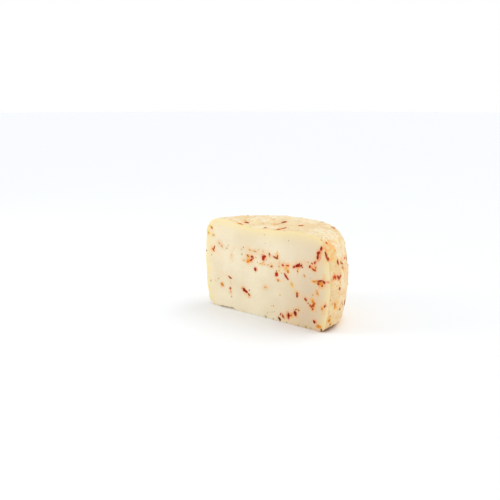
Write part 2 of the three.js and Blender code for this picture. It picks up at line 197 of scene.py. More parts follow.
# Crumbs of chili on the cut: tone, x, height, size.
CUT_CRUMBS = (
    ("red_brown", -76, 53.5, 1.8), ("olive", -69, 50, 1.6), ("olive", -70.5, 24, 2.2),
    ("ochre", -71, 78.5, 2.0), ("tan", -48, 59.5, 1.8), ("olive", -46, 62.5, 1.5), ("tan", -28.5, 61, 1.7),
    ("tan", -28, 56.5, 2.2), ("tan", -26, 63.5, 1.8), ("tan", -25.5, 51, 2.4),
    ("red_brown", -13.5, 54.5, 1.6), ("tan", -10, 56, 1.5), ("tan", -8, 51.5, 1.7), ("tan", -6.5, 64, 1.5),
    ("tan", -1, 63, 1.5), ("ochre", -4.5, 51, 1.6), ("ochre", 7, 59, 1.4), ("tan", 3, 56, 1.5),
    ("tan", 5, 51, 1.6), ("tan", 0.5, 51, 1.4), ("brown", 15.5, 47, 1.5), ("olive", 21.5, 46, 1.6),
    ("orange", 18.5, 51.5, 1.7), ("ochre", 18.5, 47.5, 1.9), ("orange", 17.5, 38.5, 2.6),
    ("dark", 42.5, 57.5, 1.9), ("red_brown", 46, 55, 1.7), ("orange", 40, 51, 1.8),
    ("red_brown", 56.5, 60.5, 2.4), ("red_brown", 60.5, 57, 2.0), ("olive", 52, 60.5, 1.8),
    ("olive", 55, 46.5, 1.3), ("dark", 68, 42, 1.9), ("dark", 64, 43, 2.2), ("orange", 61.5, 45, 1.6),
    ("ochre", 66, 82.5, 1.6), ("olive", 29.5, 77, 1.5), ("olive", 1.5, 71, 1.2), ("ochre", 33, 38.5, 1.4),
    ("orange", 62.5, 36.5, 1.4), ("orange", 58, 32, 1.5), ("brown", 53, 23.5, 1.8),
    ("red_brown", 58, 19, 2.2), ("dark", 39, 15, 2.0), ("orange_red", 38.5, 9.5, 2.2),
    ("dark", 32, 8, 1.9), ("red", 20.5, 7, 1.7), ("orange", 25.5, 4.5, 1.6), ("brown", 68, 1.7, 3.0),
    ("olive", 51, 1.3, 2.6), ("olive", 57, 1.2, 2.2), ("olive", 2.5, 1.2, 2.4), ("olive", 12, 1.1, 2.0),
    ("olive", 28, 1.2, 2.1), ("olive", 42, 1.1, 1.8), ("olive", 4.5, 5.5, 1.4), ("olive", 7.5, 6.5, 1.1),
    ("olive", 10.5, 7, 1.1), ("olive", 13.5, 8, 1.1), ("ochre", 9.5, 13, 1.3), ("ochre", 12.5, 13.5, 1.5),
    ("brown", -18.5, 23, 1.6), ("olive", -28.5, 23, 1.5), ("tan", -59.5, 27.5, 1.6),
    ("ochre", -64, 25, 1.4), ("tan", -42, 12.5, 1.5), ("ochre", 20, 25, 1.3),
)

# Flakes in the wall near the cut: tone, turn in degrees, height, lean, length, width.
WALL_FLAKES = (
    ("orange_red", 2.2, 80, -78, 2.4, 2.0),
    ("red", 10.5, 61.5, -70, 4.8, 2.2),
    ("brown", 16, 60, -30, 4.8, 1.8),
    ("orange_red", 24.5, 62, -8, 4.4, 1.5),
    ("tan", 18.5, 54.5, -77, 4.6, 1.8),
    ("red", 3.6, 50, 46, 3.4, 1.9),
    ("red", 5.6, 50, -59, 3.4, 1.9),
    ("red_brown", 9, 49, -47, 4.6, 2.2),
    ("red_brown", 12, 49, 19, 4.6, 2.0),
    ("red_brown", 10.5, 38.5, -47, 2.6, 2.3),
    ("orange", 7, 23.5, -80, 6.0, 2.2),
    ("tan", 19.5, 22.5, -43, 3.6, 1.8),
    ("brown", 16.5, 17.5, -38, 2.8, 1.8),
    ("orange", 2.5, 11, -30, 3.8, 3.2),
)

# Flakes in the top near the cut: tone, x, distance behind the cut, lean, length, width.
TOP_FLAKES = (
    ("orange", -32, 2, 10, 5.0, 2.0),
    ("red_brown", -31, 10, 32, 4.0, 3.0),
    ("olive", -35.5, 13, 4, 2.6, 2.0),
    ("brown", -2, 4, 87, 3.6, 2.4),
    ("dark", 14.5, 3.5, 64, 4.4, 3.0),
    ("red_brown", 14, 10.5, 88, 8.0, 1.7),
    ("dark", -3, 32, 77, 5.0, 3.4),
    ("tan", -6, 22.5, -36, 5.0, 2.0),
    ("red_brown", 22, 26, 19, 5.0, 2.8),
)

# The rest of the rind has flakes at an even spread, as in the solid: turn and height, reach and turn.
WALL_SPREAD = {"flakes": 46, "turn": (26.0, 176.0), "height": (9.0, 74.0), "first tone": 0}
TOP_SPREAD = {"flakes": 9, "reach": (56.0, 68.0), "turn": (40.0, 176.0), "first tone": 4}
SPREAD_LENGTH = (2.6, 6.0)
SPREAD_WIDTH = {"share": 0.45, "least": 1.8}
SPREAD_START = 0.17
SPREAD_TONES = ("dark", "red_brown", "orange", "red", "brown", "orange_red", "ochre", "red_brown", "tan")
GOLDEN_SHARE = (math.sqrt(5) - 1) / 2
SEED_OF_PLACES = 2718
SEED_OF_OUTLINES = 1618
SEED_OF_CRUMBS = 577
MASK_32 = 0xFFFFFFFF

# Crumbs over the rind: two in five lie beside a flake of the wall, the others anywhere.
BESIDE_FLAKES = {"first": 2, "of each": 5}
CRUMB_TONES = ("tan", "orange", "ochre", "red_brown", "tan", "orange", "tan", "brown")
CRUMB_SIZE = {"least": 0.6, "more": 1.3}
CRUMB_WIDTH_SHARE = (0.55, 0.95)
CRUMB_AWAY = (2.5, 7.0)
LOOSE_ON_WALL = {"share": 0.55, "lowest": 6, "rise": 72}
LOOSE_ON_TOP = {"reach": 68, "clear of cut": 1.0}
CUT_CRUMB_SHAPE = {"degrees for each mm": 57, "width share": 0.8}

# How far flakes and crumbs stand out, and the number of corners of their outlines.
SIDES = ("cut", "wall", "top")
FLAKE_RISE = {"cut": 0.28, "wall": 0.34, "top": 0.34}
FLAKE_CORNERS = {"cut": 22, "wall": 22, "top": 22}
CRUMB_RISE = {"cut": 0.1, "wall": 0.14, "top": 0.12}
CRUMB_CORNERS = {"cut": 12, "wall": 9, "top": 9}

# A flake's rings, out from its middle and back under it: reach, level as a share of its rise, and share
# of the edge tint. Its outline is a few straight tears with small nicks.
FLAKE_RINGS = ((0.5, 1.0, 0.0), (0.86, 0.8, 0.25), (1.0, -0.1, 1.0), (0.9, -1.6, 1.0))
UNDERSIDE = -1.6
EVEN_REACH = 0.6                                # rings further out than this follow the torn outline
TEARS = {
    "least": 5, "corners each": 3, "reach": 1.07, "spread": 0.22, "limits": (-1.6, 1.4),
    "one short": 0.8}
NICKS = {"spread": 0.05, "limits": (-2, 2)}
BENT = {"most": 0.5, "least slimness": 1.6}
SKEWED = 0.35
POINTED = (0.7, 1.0)
RISE_SPREAD = (0.9, 1.2)
LEVEL_SPREAD = 0.3
BRIGHTNESS = (0.8, 1.25)
MIDDLE_DARKER = 0.9
EDGE_BRIGHTER = 1.3
EDGE_TINT_SHARE = (0.2, 0.65)
FADE_ALONG = 0.35
TINT_SPREAD = (0.85, 1.15)
SHARP_EDGE = math.radians(50)

# How a flake finds the surface, in millimetres; its rays start a metre off.
NORMAL_REACH = 1.2
SETTLE_FROM = 3
SETTLE_NEAR = 1.5
NEARLY_LEVEL = 0.9

# Which tones go into which of the three flake pieces.
RED_TONES = ("red", "dark", "orange_red")
BROWN_TONES = ("brown", "red_brown", "black", "olive")
ORANGE_TONES = ("orange", "ochre", "tan")

# The tint that the light gives each tone at its thin edge.
EDGE_TINTS = {
    "red": (0.74, 0.08, 0.013), "dark": (0.62, 0.045, 0.01), "orange_red": (0.78, 0.24, 0.035),
    "brown": (0.60, 0.27, 0.08), "red_brown": (0.70, 0.19, 0.04), "black": (0.42, 0.11, 0.02),
    "orange": (0.84, 0.45, 0.09), "ochre": (0.84, 0.62, 0.20), "tan": (0.80, 0.55, 0.28),
    "olive": (0.76, 0.64, 0.33),
}

# ---------- Oil stains and painted shade, in millimetres and degrees ---

# Brown is mostly painted shade in the gaps under the base; on the top it is one real brown mark.
STAIN_KINDS = ("red", "orange", "yellow", "pink", "brown")
BLOT_FALL = 0.9                                 # how fast a stain thins out from its middle
BLOT_REACH = {"for each length": 1.6, "more": 6}  # and how far out it is worked out at all
STAIN_WARP = {"spacing": 3.0, "reach": 2.2, "seeds": (31, 32, 33)}   # makes their edges run

# The stain that a flake of each tone leaves close round it, and its strength; a pink one reaches further.
HALOS = {
    "red": ("red", 0.85), "dark": ("red", 0.85), "orange_red": ("orange", 0.95), "brown": ("orange", 0.7),
    "red_brown": ("red", 0.7), "orange": ("orange", 0.8), "ochre": ("yellow", 0.9), "tan": ("pink", 0.8),
    "olive": ("yellow", 0.4), "black": ("red", 0.6),
}
NEAR_HALO = {"longer": 2, "wider": 2}
FAR_HALO = {"longer": 5, "wider": 4.5, "strength": 0.5}

# Stains beside the flakes' own halos, on the cut: x, height, length, width, lean and strength.
CUT_STAINS = {
    "red": (
        (-41.5, 52.5, 6, 3, 80, 0.45), (58, 56, 6, 2.4, -20, 0.5), (64.6, 66, 9, 2.6, 66, 0.6),
        (66.5, 44, 7, 3.6, -15, 0.7), (73.5, 46.2, 9, 1.8, -3, 0.75), (58.5, 22, 7, 4.4, 60, 0.5),
        (31, 8, 8, 5, 15, 0.5), (21, 7, 5, 2.6, 30, 0.6),
    ),
    "orange": (
        (-70, 68.5, 10, 3, 10, 0.3), (-64, 25, 5, 2.4, 0, 0.5), (-42.5, 26, 7, 2.4, -82, 0.45),
        (-42, 12.5, 4, 2.4, 80, 0.6), (-3, 51.5, 9, 2.4, 5, 0.5), (-14, 62.3, 12, 1.8, -3, 0.6),
        (-20.8, 50, 5, 3.4, 20, 0.8), (-19.5, 53.5, 5, 3.4, 80, 0.8), (-1.5, 52, 5, 2.6, 75, 0.7),
        (1, 50.5, 8, 3.4, 0, 0.45), (16.5, 64, 5.4, 2.4, 86, 0.7), (18.5, 53, 8, 3.2, 80, 0.55),
        (17.5, 38.5, 8, 3, -3, 0.95), (27, 51.5, 6.5, 4.4, 75, 1.0), (25, 56, 9, 2.6, 8, 0.45),
        (40.5, 51.5, 7, 2.6, 82, 0.85), (57.5, 58, 8, 5, -10, 0.5), (70.5, 75, 11, 3.6, -65, 0.85),
        (68, 82, 9, 2.6, -42, 0.85), (59.5, 44.7, 8, 2.2, 2, 0.75), (65.5, 43, 8, 5, -20, 0.8),
        (65, 39.5, 5, 3, 70, 0.6), (69.5, 48.5, 8, 3.4, 35, 0.5), (70, 52, 6, 4, 20, 0.3),
        (62.5, 35, 5, 3, -75, 0.6), (58, 32, 4, 2.6, -40, 0.5), (58.5, 19, 5, 3, 80, 0.8),
        (61.5, 18, 5, 2.4, -10, 0.4), (70.5, 17, 11, 4, 35, 0.45), (39.5, 8, 6, 2.6, 0, 0.7),
        (34.5, 9.5, 6, 3, 50, 0.8), (25.5, 4.5, 4, 3, -40, 0.7), (-18, 17.5, 5, 2.8, -35, 0.6),
        (-28.5, 24, 5, 3, 90, 0.5),
    ),
    "yellow": (
        (-73.5, 73, 8, 3.4, 80, 0.8), (-71, 78.5, 4.5, 3, -20, 0.8), (-56, 49, 5, 3, -20, 0.35),
        (-72.5, 35.5, 5, 2.6, 0, 0.6), (-26.5, 12, 2.6, 2.6, 0, 0.4), (-6, 66, 5, 3, 0, 0.4),
        (-4.5, 51, 6, 2.6, 12, 0.9), (7, 59, 3.4, 3, 0, 0.6), (18.5, 47.5, 6.5, 3.4, 70, 0.95),
        (-18, 43, 6, 3, 40, 0.35), (40.5, 47.5, 6, 3, 85, 0.6), (40.5, 41, 8, 3, 85, 0.35),
        (72, 62, 9, 5, 80, 0.4), (51.5, 64.5, 4, 3, 0, 0.3), (34, 36.5, 6, 3.4, -75, 0.9),
        (70, 8, 6, 5, 60, 0.5), (65, 9.5, 4, 2.6, 0, 0.4), (41.5, 4.5, 7, 3, 85, 0.5),
        (20, 25, 5, 4, 60, 0.45), (11, 13, 6, 2.6, 5, 0.5), (2.5, 1, 4, 2.4, 0, 0.5),
    ),
    "pink": (
        (-66, 57, 9, 6, 30, 0.5), (-57, 62, 10, 4, -40, 0.4), (-47, 61, 7, 5, 50, 0.35),
        (-38.5, 60.5, 7, 3.4, 40, 0.6), (-41.5, 52, 9, 6, 80, 0.85), (-60, 52, 14, 6, 0, 0.3),
        (-60, 27.5, 5, 2.4, 20, 0.6), (-54.5, 34, 9, 7, 0, 0.5), (-72, 32, 5, 4, 90, 0.35),
        (-46, 32, 7, 4, -12, 0.5), (-27, 2, 8, 3, 0, 0.4), (8, 51.5, 13, 4, 8, 0.5),
        (-18, 62, 22, 5, -4, 0.5), (-18, 54, 14, 10, 0, 0.5), (-25, 51, 6, 3, -5, 0.8),
        (-1, 63, 7, 3.6, -10, 0.6), (9, 51.5, 9, 3, 30, 0.7), (2, 56.5, 10, 8, 0, 0.4),
        (12, 60.5, 14, 5, -10, 0.5), (20, 52, 14, 9, 0, 0.4), (24, 40, 4, 4, 70, 0.5),
        (31, 54, 7, 4, 30, 0.5), (42, 57.5, 15, 6, 8, 0.5), (50.5, 60.5, 11, 3.6, 2, 0.6),
        (59, 59, 14, 10, 40, 0.5), (68, 65, 12, 8, 0, 0.5), (70, 43, 14, 10, 0, 0.45),
        (46, 28, 6, 4, 0, 0.35), (58, 23, 14, 10, 40, 0.5), (70, 25, 10, 7, 45, 0.45),
        (62, 7, 12, 8, -40, 0.45), (40.5, 15, 9, 5, 10, 0.5), (30, 9, 26, 9, 22, 0.45),
        (2, 29.5, 9, 4.4, 8, 0.7), (-22, 21, 12, 8, -30, 0.4), (51, 1.5, 6, 3, 0, 0.4),
        (36, 2, 24, 4, 0, 0.3),
    ),
    # The brown row is painted shadow in the gap under the chipped lower edge of the cut.
    "brown": (
        (-49, 0.3, 18, 1.8, 0, 1.0),
    ),
}

# The same on the wall, by turn in degrees and height.
WALL_STAINS = {
    "red": (
        (25, 52.5, 6, 3, -30, 0.5), (27, 35, 5, 3, 20, 0.45), (2.5, 14.6, 5, 1.8, 20, 0.7),
        (22, 46, 7, 4, -30, 0.4), (20, 62, 8, 4, -30, 0.4), (10.5, 47.5, 6, 4, -70, 0.5),
    ),
    "orange": (
        (31, 45, 12, 6, -20, 0.55), (28, 27, 12, 6, -20, 0.55), (33, 60, 12, 5, -20, 0.5),
        (15, 10, 12, 4, -10, 0.5), (1.0, 82.5, 9, 2.6, 5, 0.8), (3, 78, 9, 2.6, 10, 0.7),
        (10, 81.5, 10, 4, 5, 0.38), (4, 75, 12, 3.6, 10, 0.8), (8.5, 73, 7, 2.8, -40, 0.6),
        (5, 70, 11, 4, 15, 0.75), (7, 77.5, 8, 3, -30, 0.7), (2.5, 66.5, 10, 4, -5, 0.9),
        (23.5, 62.5, 12, 3.4, -8, 0.45), (19.5, 54, 11, 7, -25, 0.52), (2, 47.5, 7, 4, 60, 0.6),
        (8, 38, 9, 4, -10, 0.22), (19, 31.5, 10, 5, -10, 0.38), (24, 38, 12, 5, -20, 0.38),
        (3, 26, 6, 5, 60, 0.6), (9, 26.5, 12, 4, -20, 0.45), (9, 22, 11, 6, -55, 0.68),
        (13.5, 19.5, 12, 5, -25, 0.38), (1.5, 14.5, 6, 4, 0, 0.52), (4, 8.5, 10, 4, -15, 0.38),
        (25, 16.5, 18, 4, -18, 0.38), (8, 4.5, 14, 3, -10, 0.38),
    ),
    "yellow": (
        (14, 80, 10, 3, -5, 0.4), (23, 78.5, 14, 4, 5, 0.6), (5, 72, 18, 11, 0, 0.6),
        (6.5, 64, 9, 6, -50, 0.6), (4, 57, 12, 8, 0, 0.35), (5, 42, 12, 5, -10, 0.5),
        (12, 27.5, 14, 4, -8, 0.5), (3.5, 21.5, 7, 5, -30, 0.6), (2.5, 11.5, 9, 5, -30, 1.0),
    ),
    "pink": (
        (27, 50, 14, 8, -15, 0.75), (24, 34, 12, 7, 0, 0.6), (2, 72, 9, 5, -20, 0.6),
        (11, 61.5, 10, 7, -50, 0.7), (18, 63.5, 12, 4, -12, 0.8), (22, 58, 18, 5, -10, 0.4),
        (26, 54.5, 12, 3, -15, 0.6), (5, 50, 8, 5, 0, 0.7), (12, 49, 16, 6, -5, 0.6),
        (11.5, 41, 8, 5, -20, 0.8), (11, 33.5, 9, 3, -25, 0.5), (18.5, 32.5, 13, 6, -15, 1.0),
        (18, 22.5, 11, 5, -15, 0.7), (7.5, 13.5, 5, 3, -20, 0.5),
    ),
    # The brown rows are painted shade: the dark gap under the rounded foot at the wall's right end, where
    # the base shoulder lifts off the floor.
    "brown": (
        (9.5, 1.8, 19, 4.6, -5, 1.0), (9, 0.8, 17, 3.4, -3, 1.0), (24, 0.6, 18, 2.4, -2, 0.8),
    ),
}

# The same on the top, by x and distance behind the cut.
TOP_STAINS = {
    "orange": (
        (0, 18, 9, 4, 40, 0.5), (30, 15, 10, 4, 40, 0.45), (10, 38, 10, 5, 40, 0.5),
        (-52, 14, 9, 4, 40, 0.5), (55, 20, 8, 3, 50, 0.5), (-32, 2, 9, 5, -10, 0.7),
        (-33, 10, 9, 6, -30, 0.6), (12.5, 8, 18, 5, -62, 0.7), (-7, 23, 9, 3.4, -40, 0.6),
        (-19, 28.5, 6, 5, 60, 0.5), (-44, 22, 12, 5, -40, 0.6), (-40, 38, 12, 7, 0, 0.5),
        (-29, 38, 11, 7, 0, 0.5), (31, 33, 8, 3, -40, 0.4), (37, 27, 7, 3, -45, 0.4),
        (44, 31, 8, 3, -45, 0.5), (38, 36, 8, 4, -40, 0.5), (8, 50, 14, 8, 0, 0.4),
        (-14, 50, 14, 9, 0, 0.4),
    ),
    "yellow": (
        (18, 19, 9, 4, 40, 0.6), (60, 6, 8, 4, 60, 0.6), (-23, 3, 10, 4, -40, 0.5),
        (-19, 1.2, 6, 3, 0, 0.8), (7, 1.2, 7, 3, 0, 0.8), (-26, 18, 12, 6, -30, 0.5),
    ),
    "pink": (
        (42, 12, 9, 4, 40, 0.5), (12, 15, 10, 6, -60, 0.6), (-6, 28.5, 8, 6, 0, 0.5),
        (-1.5, 7.5, 9, 4, -75, 0.6), (-55, 5, 10, 4, -40, 0.4), (22, 27, 9, 6, -40, 0.5),
        (63, 13, 5, 4, 0, 0.7),
    ),
    "brown": (
        (-3.5, 25.5, 8, 2.0, 43, 0.6),
    ),
}

# The rest of the wall is blotched alike, at an even spread.
WALL_BLOTCHES = {"count": 84, "turn": (27.0, 178.0), "height": (3.0, 84.0)}
BLOTCH_SHIFT = 0.08
BLOTCH_LENGTH = (7.0, 17.0)
BLOTCH_WIDTH_SHARE = (0.28, 0.55)
BLOTCH_LEAN = (-35.0, 20.0)
BLOTCH_STRENGTH = (0.35, 0.85)
BLOTCH_KINDS = ("orange", "pink", "yellow", "orange", "yellow", "pink", "orange")
SEED_OF_BLOTCHES = 1414

# ---------- Finishes ----------

# Noise in the materials: spacing of its lumps in millimetres, detail, stretch and roughness, the window
# it fades in over, and how strongly it lays which tint over what is under it.
CLOUDS = {"spacing": 38, "detail": 2, "window": (0.35, 0.68)}
GRAIN = {
    "spacing": 2.0, "detail": 5, "stretch": (1, 1, 1.3), "roughness": 0.75, "window": (0.34, 0.70),
    "strength": 0.26, "tint": (0.74, 0.60, 0.38)}
CURDS = {
    "spacing": 1.0, "stretch": (1, 1, 1.2), "roughness": 0.6, "window": (0.60, 0.72),
    "strength": 0.35, "tint": (0.93, 0.85, 0.69)}
PINHOLES = {
    "spacing": 1.5, "detail": 2, "stretch": (0.8, 1, 1.5), "roughness": 0.5, "window": (0.69, 0.75),
    "strength": 0.45, "tint": (0.66, 0.50, 0.27)}
SLOW_MOTTLE = {"spacing": 24, "stretch": (1, 1, 1.5)}
MOTTLE = {"spacing": 7, "detail": 5, "stretch": (1, 1, 1.7), "roughness": 0.65}
RUST = {"spacing": 15, "detail": 4, "stretch": (1, 1, 1.3), "roughness": 0.6}
DUST = {
    "spacing": 1.5, "roughness": 0.7, "window": (0.60, 0.72), "strength": 0.26, "tint": (0.42, 0.24, 0.10)}
BLOOM = {
    "spacing": 2.4, "stretch": (1, 1, 1.2), "roughness": 0.6, "window": (0.58, 0.68),
    "strength": 0.42, "tint": (0.95, 0.86, 0.66)}
DIMPLES = {
    "spacing": 3.8, "stretch": (1, 1, 0.2), "randomness": 0.7, "window": (0.44, 0.10),
    "strength": 0.68, "tint": (0.64, 0.36, 0.12)}
DIMPLE_GAPS = {"spacing": 6, "detail": 2, "window": (0.30, 0.62)}
STAIN_FLOW = {"spacing": 1.6, "detail": 4, "roughness": 0.7}
FINE_GRAIN = {"spacing": 1.1, "detail": 6, "stretch": (1, 1, 1.2), "roughness": 0.75}
PORES = {"spacing": 1.9, "detail": 2, "stretch": (1, 1, 1.6), "window": (0.62, 0.74)}
KNIFE_DRAG = {"spacing": 1.4, "stretch": (0.10, 1, 0.9), "roughness": 0.6}
VEINS = {"spacing": 1.1, "detail": 5, "roughness": 0.75, "window": (0.42, 0.68)}
FLECKS = {"spacing": 0.6, "roughness": 0.65, "window": (0.54, 0.68)}
WRINKLES = {"spacing": 0.8, "detail": 5}
FLOOR_CLOUDS = {"spacing": 400, "detail": 2}

# How strongly the zones and patterns colour the cheese.
DEEP_STRENGTH = {"paste": 0.92, "rind": 0.95}
BAND_STRENGTH = 0.9
GOLD = {"mottle": 0.8, "window": (0.78, 1.02), "strength": 0.82}
RUSTY = {"mottle": 0.5, "window": (0.84, 1.04), "strength": 0.62}

# The stains from the lowest layer to the uppermost.
STAIN_LOOKS = {
    "pink": {"window": (0.30, 1.40), "strength": 0.45, "tint": (0.87, 0.50, 0.205)},
    "yellow": {"window": (0.45, 1.40), "strength": 0.60, "tint": (0.88, 0.63, 0.17)},
    "orange": {"window": (0.50, 1.50), "strength": 0.85, "tint": (0.88, 0.385, 0.055)},
    "red": {"window": (0.60, 1.40), "strength": 0.85, "tint": (0.80, 0.16, 0.02)},
    # Brown darkens the gaps under the base as painted shade, and tints one mark on the top.
    "brown": {"window": (0.40, 1.10), "strength": 0.90, "tint": (0.26, 0.105, 0.028)},
}
FLOW_SHARE = 0.9
STAIN_BEGINS = (0.02, 0.3)

# Roughness and bump of the cheese, as shares of the patterns.
CUT_ROUGHNESS = {"even": 0.42, "grain": 0.12}
# The brown channel, mostly painted shade in the gaps under the base, is also made rougher.
RIND_ROUGHNESS = {"even": 0.42, "mottle": 0.3, "brown stain and gap shade": 0.5}
CUT_BUMP = {"fine": 0.45, "drag": 0.35, "pinholes": 0.6}
RIND_BUMP = {"fine": 0.7, "pores": 0.6, "dimples": 0.9}

# Chili: lighter veins and dark flecks, each a mix of the flake's tone and a tint.
VEIN_LOOK = {"strength": 0.3, "tint share": 0.25, "tint": (0.90, 0.32, 0.05), "rougher": 0.2}
FLECK_LOOK = {"strength": 0.4, "tint share": 0.75, "tint": (0.04, 0.012, 0.006)}

# ---------- Stage, in metres ----------

FLOOR_RADIUS = 6
FLOOR_SIDES = 96
FLOOR_CLOUD = {"strength": 0.04, "tint": (0.93, 0.93, 0.93)}
# Painted warm shade on the floor beside the wall's right end: a darker, warmer tint standing in for the
# shadow there and the light the cheese throws into it. It fades out away from the wheel's axis.
PAINTED_WARM_SHADE = {
    "away": (0.078, 0.068), "x": (0.01, 0.05), "before cut": 0.002,
    "strength": 0.75, "tint": (0.94, 0.76, 0.58)}
LAMP = {"place": (-0.45, -0.50, 0.35), "aim": (0, 0, 0.04), "size": 0.35}
WINDOW = {"place": (0.5, 0.75, 1.0), "width": math.radians(60)}
SKY_TINT = (0.985, 0.995, 1.0)
SENSOR_WIDTH = 36
NEAREST_SEEN = 0.01


# ---------- Sizes and colours that a user would change ----------

def length_choice(name, description, millimetres, least):
    return FloatProperty(
        name=name, description=description, default=millimetres * MM, min=least * MM, unit="LENGTH")


def amount_choice(name, description, default):
    return FloatProperty(name=name, description=description, default=default, min=0)


def colour_choice(name, description, shade):
    return FloatVectorProperty(
        name=name, description=description, default=shade, size=3, min=0, max=1, subtype="COLOR")


class WheelSizes(bpy.types.PropertyGroup):
    """Sizes of the half wheel."""

    radius: length_choice("Wheel radius", "Radius of the whole wheel at mid height", 77.5, 20)
    rim_height: length_choice("Rim height", "Height of the top's rim above the base", 87, 20)
    centre_height: length_choice("Centre height", "Height of the dished top at its middle", 84.2, 20)
    top_shoulder: length_choice("Top shoulder", "Radius of the soft upper edge", 17.5, 1)
    grain: length_choice("Surface grain", "Size of the squares the surface is rebuilt from", 0.8, 0.5)
    rind_relief: length_choice("Rind relief", "Height of the rind's small lumps and dimples", 0.4, 0)
    cut_relief: length_choice("Cut relief", "Depth of the knife's slow waves in the cut face", 0.16, 0)


class CheeseColours(bpy.types.PropertyGroup):
    """Colours of the paste and the rind."""

    paste_light: colour_choice(
        "Light paste", "Paste of the cut face where it is palest", (0.89, 0.785, 0.575))
    paste_deep: colour_choice(
        "Deep paste", "Paste of the cut face where it is deepest", (0.82, 0.70, 0.49))
    # The right paste also carries painted shade: the cut darkens towards its right, where less of the left
    # lamp's light reaches.
    paste_right_shaded: colour_choice(
        "Right paste", "Paste of the cut face towards the right rind", (0.705, 0.545, 0.365))
    rim_band: colour_choice(
        "Rim band", "Yellower paste in a narrow band inside the rind", (0.92, 0.755, 0.385))
    rind_pale: colour_choice("Pale rind", "Rind where it is palest", (0.88, 0.75, 0.50))
    rind_gold: colour_choice("Golden rind", "Rind where it is golden", (0.80, 0.58, 0.29))
    rind_rust: colour_choice("Rusty rind", "Rind where chili oil has soaked in", (0.68, 0.38, 0.13))


class ChiliLooks(bpy.types.PropertyGroup):
    """Colours and number of the chili flakes."""

    crumbs: IntProperty(
        name="Rind crumbs", description="Number of small chili crumbs scattered over the rind",
        default=280, min=0, max=2000)
    red: colour_choice("Red", "Bright red flakes", (0.45, 0.014, 0.005))
    dark: colour_choice("Dark red", "Thick dark red flakes", (0.27, 0.010, 0.004))
    orange_red: colour_choice("Orange red", "Thin flakes the light shines through", (0.56, 0.08, 0.012))
    brown: colour_choice("Brown", "Flakes of dried skin", (0.34, 0.09, 0.022))
    red_brown: colour_choice("Red brown", "Flakes between red and brown", (0.40, 0.06, 0.014))
    orange: colour_choice("Orange", "Oily orange bits of pith and seed", (0.66, 0.24, 0.028))
    ochre: colour_choice("Ochre", "Pale yellow seeds", (0.7, 0.42, 0.09))
    tan: colour_choice("Tan", "Flakes that lie just under the paste", (0.66, 0.36, 0.15))
    olive: colour_choice("Olive", "Grey-green bits of stalk", (0.60, 0.43, 0.19))
    black: colour_choice("Black", "Scorched bits", (0.15, 0.036, 0.008))


class StageLooks(bpy.types.PropertyGroup):
    """The pale floor, the light and the view."""

    floor_colour: colour_choice("Floor", "Colour of the floor", (0.928, 0.944, 0.962))
    sky_light: amount_choice("Sky light", "Strength of the even light from all round", 0.80)
    left_power: amount_choice("Left lamp", "Power of the near lamp in front at the left, in watts", 1.1)
    window_strength: amount_choice(
        "Window", "Strength of the wide soft light from behind at the right", 1.1)
    eye: FloatVectorProperty(
        name="Eye", description="Place of the camera",
        default=(0.48216, -0.57668, 0.2131), size=3, subtype="TRANSLATION")
    turn: FloatProperty(
        name="Turn", description="How far the camera is turned to the left of +Y",
        default=math.radians(42.89), subtype="ANGLE")
    dip: FloatProperty(
        name="Dip", description="How far the camera looks down",
        default=math.radians(11.63), subtype="ANGLE")
    lens: FloatProperty(
        name="Lens", description="Focal length on a sensor 36 mm wide",
        default=57.6, min=1, unit="CAMERA")


# ---------- Helpers ----------

def smooth_step(value, low, high):
    share = np.clip((value - low) / (high - low), 0, 1)
    return share * share * (3 - 2 * share)


def part_way(span, share):
    """The value at a share of the way along a span."""
    return span[0] + (span[1] - span[0]) * share


def between(sides, turn):
    """A value that goes from its right one at turn 0 to its left one at half a turn."""
    return part_way((sides["left"], sides["right"]), 0.5 + 0.5 * np.cos(turn))


def seeded_draws(seed):
    """A repeatable stream of numbers from 0 to 1, the same that places the solid's flakes."""
    state = seed & MASK_32

    def draw():
        nonlocal state
        state = (state + 0x6D2B79F5) & MASK_32
        mixed = ((state ^ (state >> 15)) * (state | 1)) & MASK_32
        mixed ^= (mixed + (((mixed ^ (mixed >> 7)) * (mixed | 61)) & MASK_32)) & MASK_32
        return ((mixed ^ (mixed >> 14)) & MASK_32) / 4294967296

    return draw


def lattice_noise(points, spacing, seed):
    """Smooth noise from 0 to 1 with lumps of about the given spacing.

    The large numbers scramble each lattice point's place into its value.
    """
    scaled = points / spacing
    cell = np.floor(scaled).astype(np.int64)
    part = scaled - cell
    part = part * part * (3 - 2 * part)
    total = np.zeros(len(points))
    for corner in range(8):
        step = np.array([corner & 1, (corner >> 1) & 1, (corner >> 2) & 1])
        key = (cell + step) * np.array([73856093, 19349663, 83492791]) + seed * 2654435761
        mixed = (key[:, 0] ^ key[:, 1] ^ key[:, 2]) & MASK_32
        mixed = ((mixed ^ (mixed >> 15)) * 0x2C1B3C6D) & MASK_32
        mixed = ((mixed ^ (mixed >> 12)) * 0x297A2D39) & MASK_32
        value = (mixed ^ (mixed >> 15)) / MASK_32
        weight = np.where(step == 1, part, 1 - part).prod(axis=1)
        total += weight * value
    return total


def select_nothing():
    if bpy.context.object and bpy.context.object.mode != "OBJECT":
        bpy.ops.object.mode_set(mode="OBJECT")
    bpy.ops.object.select_all(action="DESELECT")


def select_only(piece):
    select_nothing()
    piece.select_set(True)
    bpy.context.view_layer.objects.active = piece


def select_edges_at(piece, height):
    """Selects the edges that lie all along one height, and no others."""
    bpy.context.tool_settings.mesh_select_mode = (False, True, False)
    mesh = piece.data
    on_level = [abs(vertex.co.z - height) < SAME_LEVEL for vertex in mesh.vertices]
    for face in mesh.polygons:
        face.select = False
    for vertex in mesh.vertices:
        vertex.select = on_level[vertex.index]
    for edge in mesh.edges:
        edge.select = on_level[edge.vertices[0]] and on_level[edge.vertices[1]]


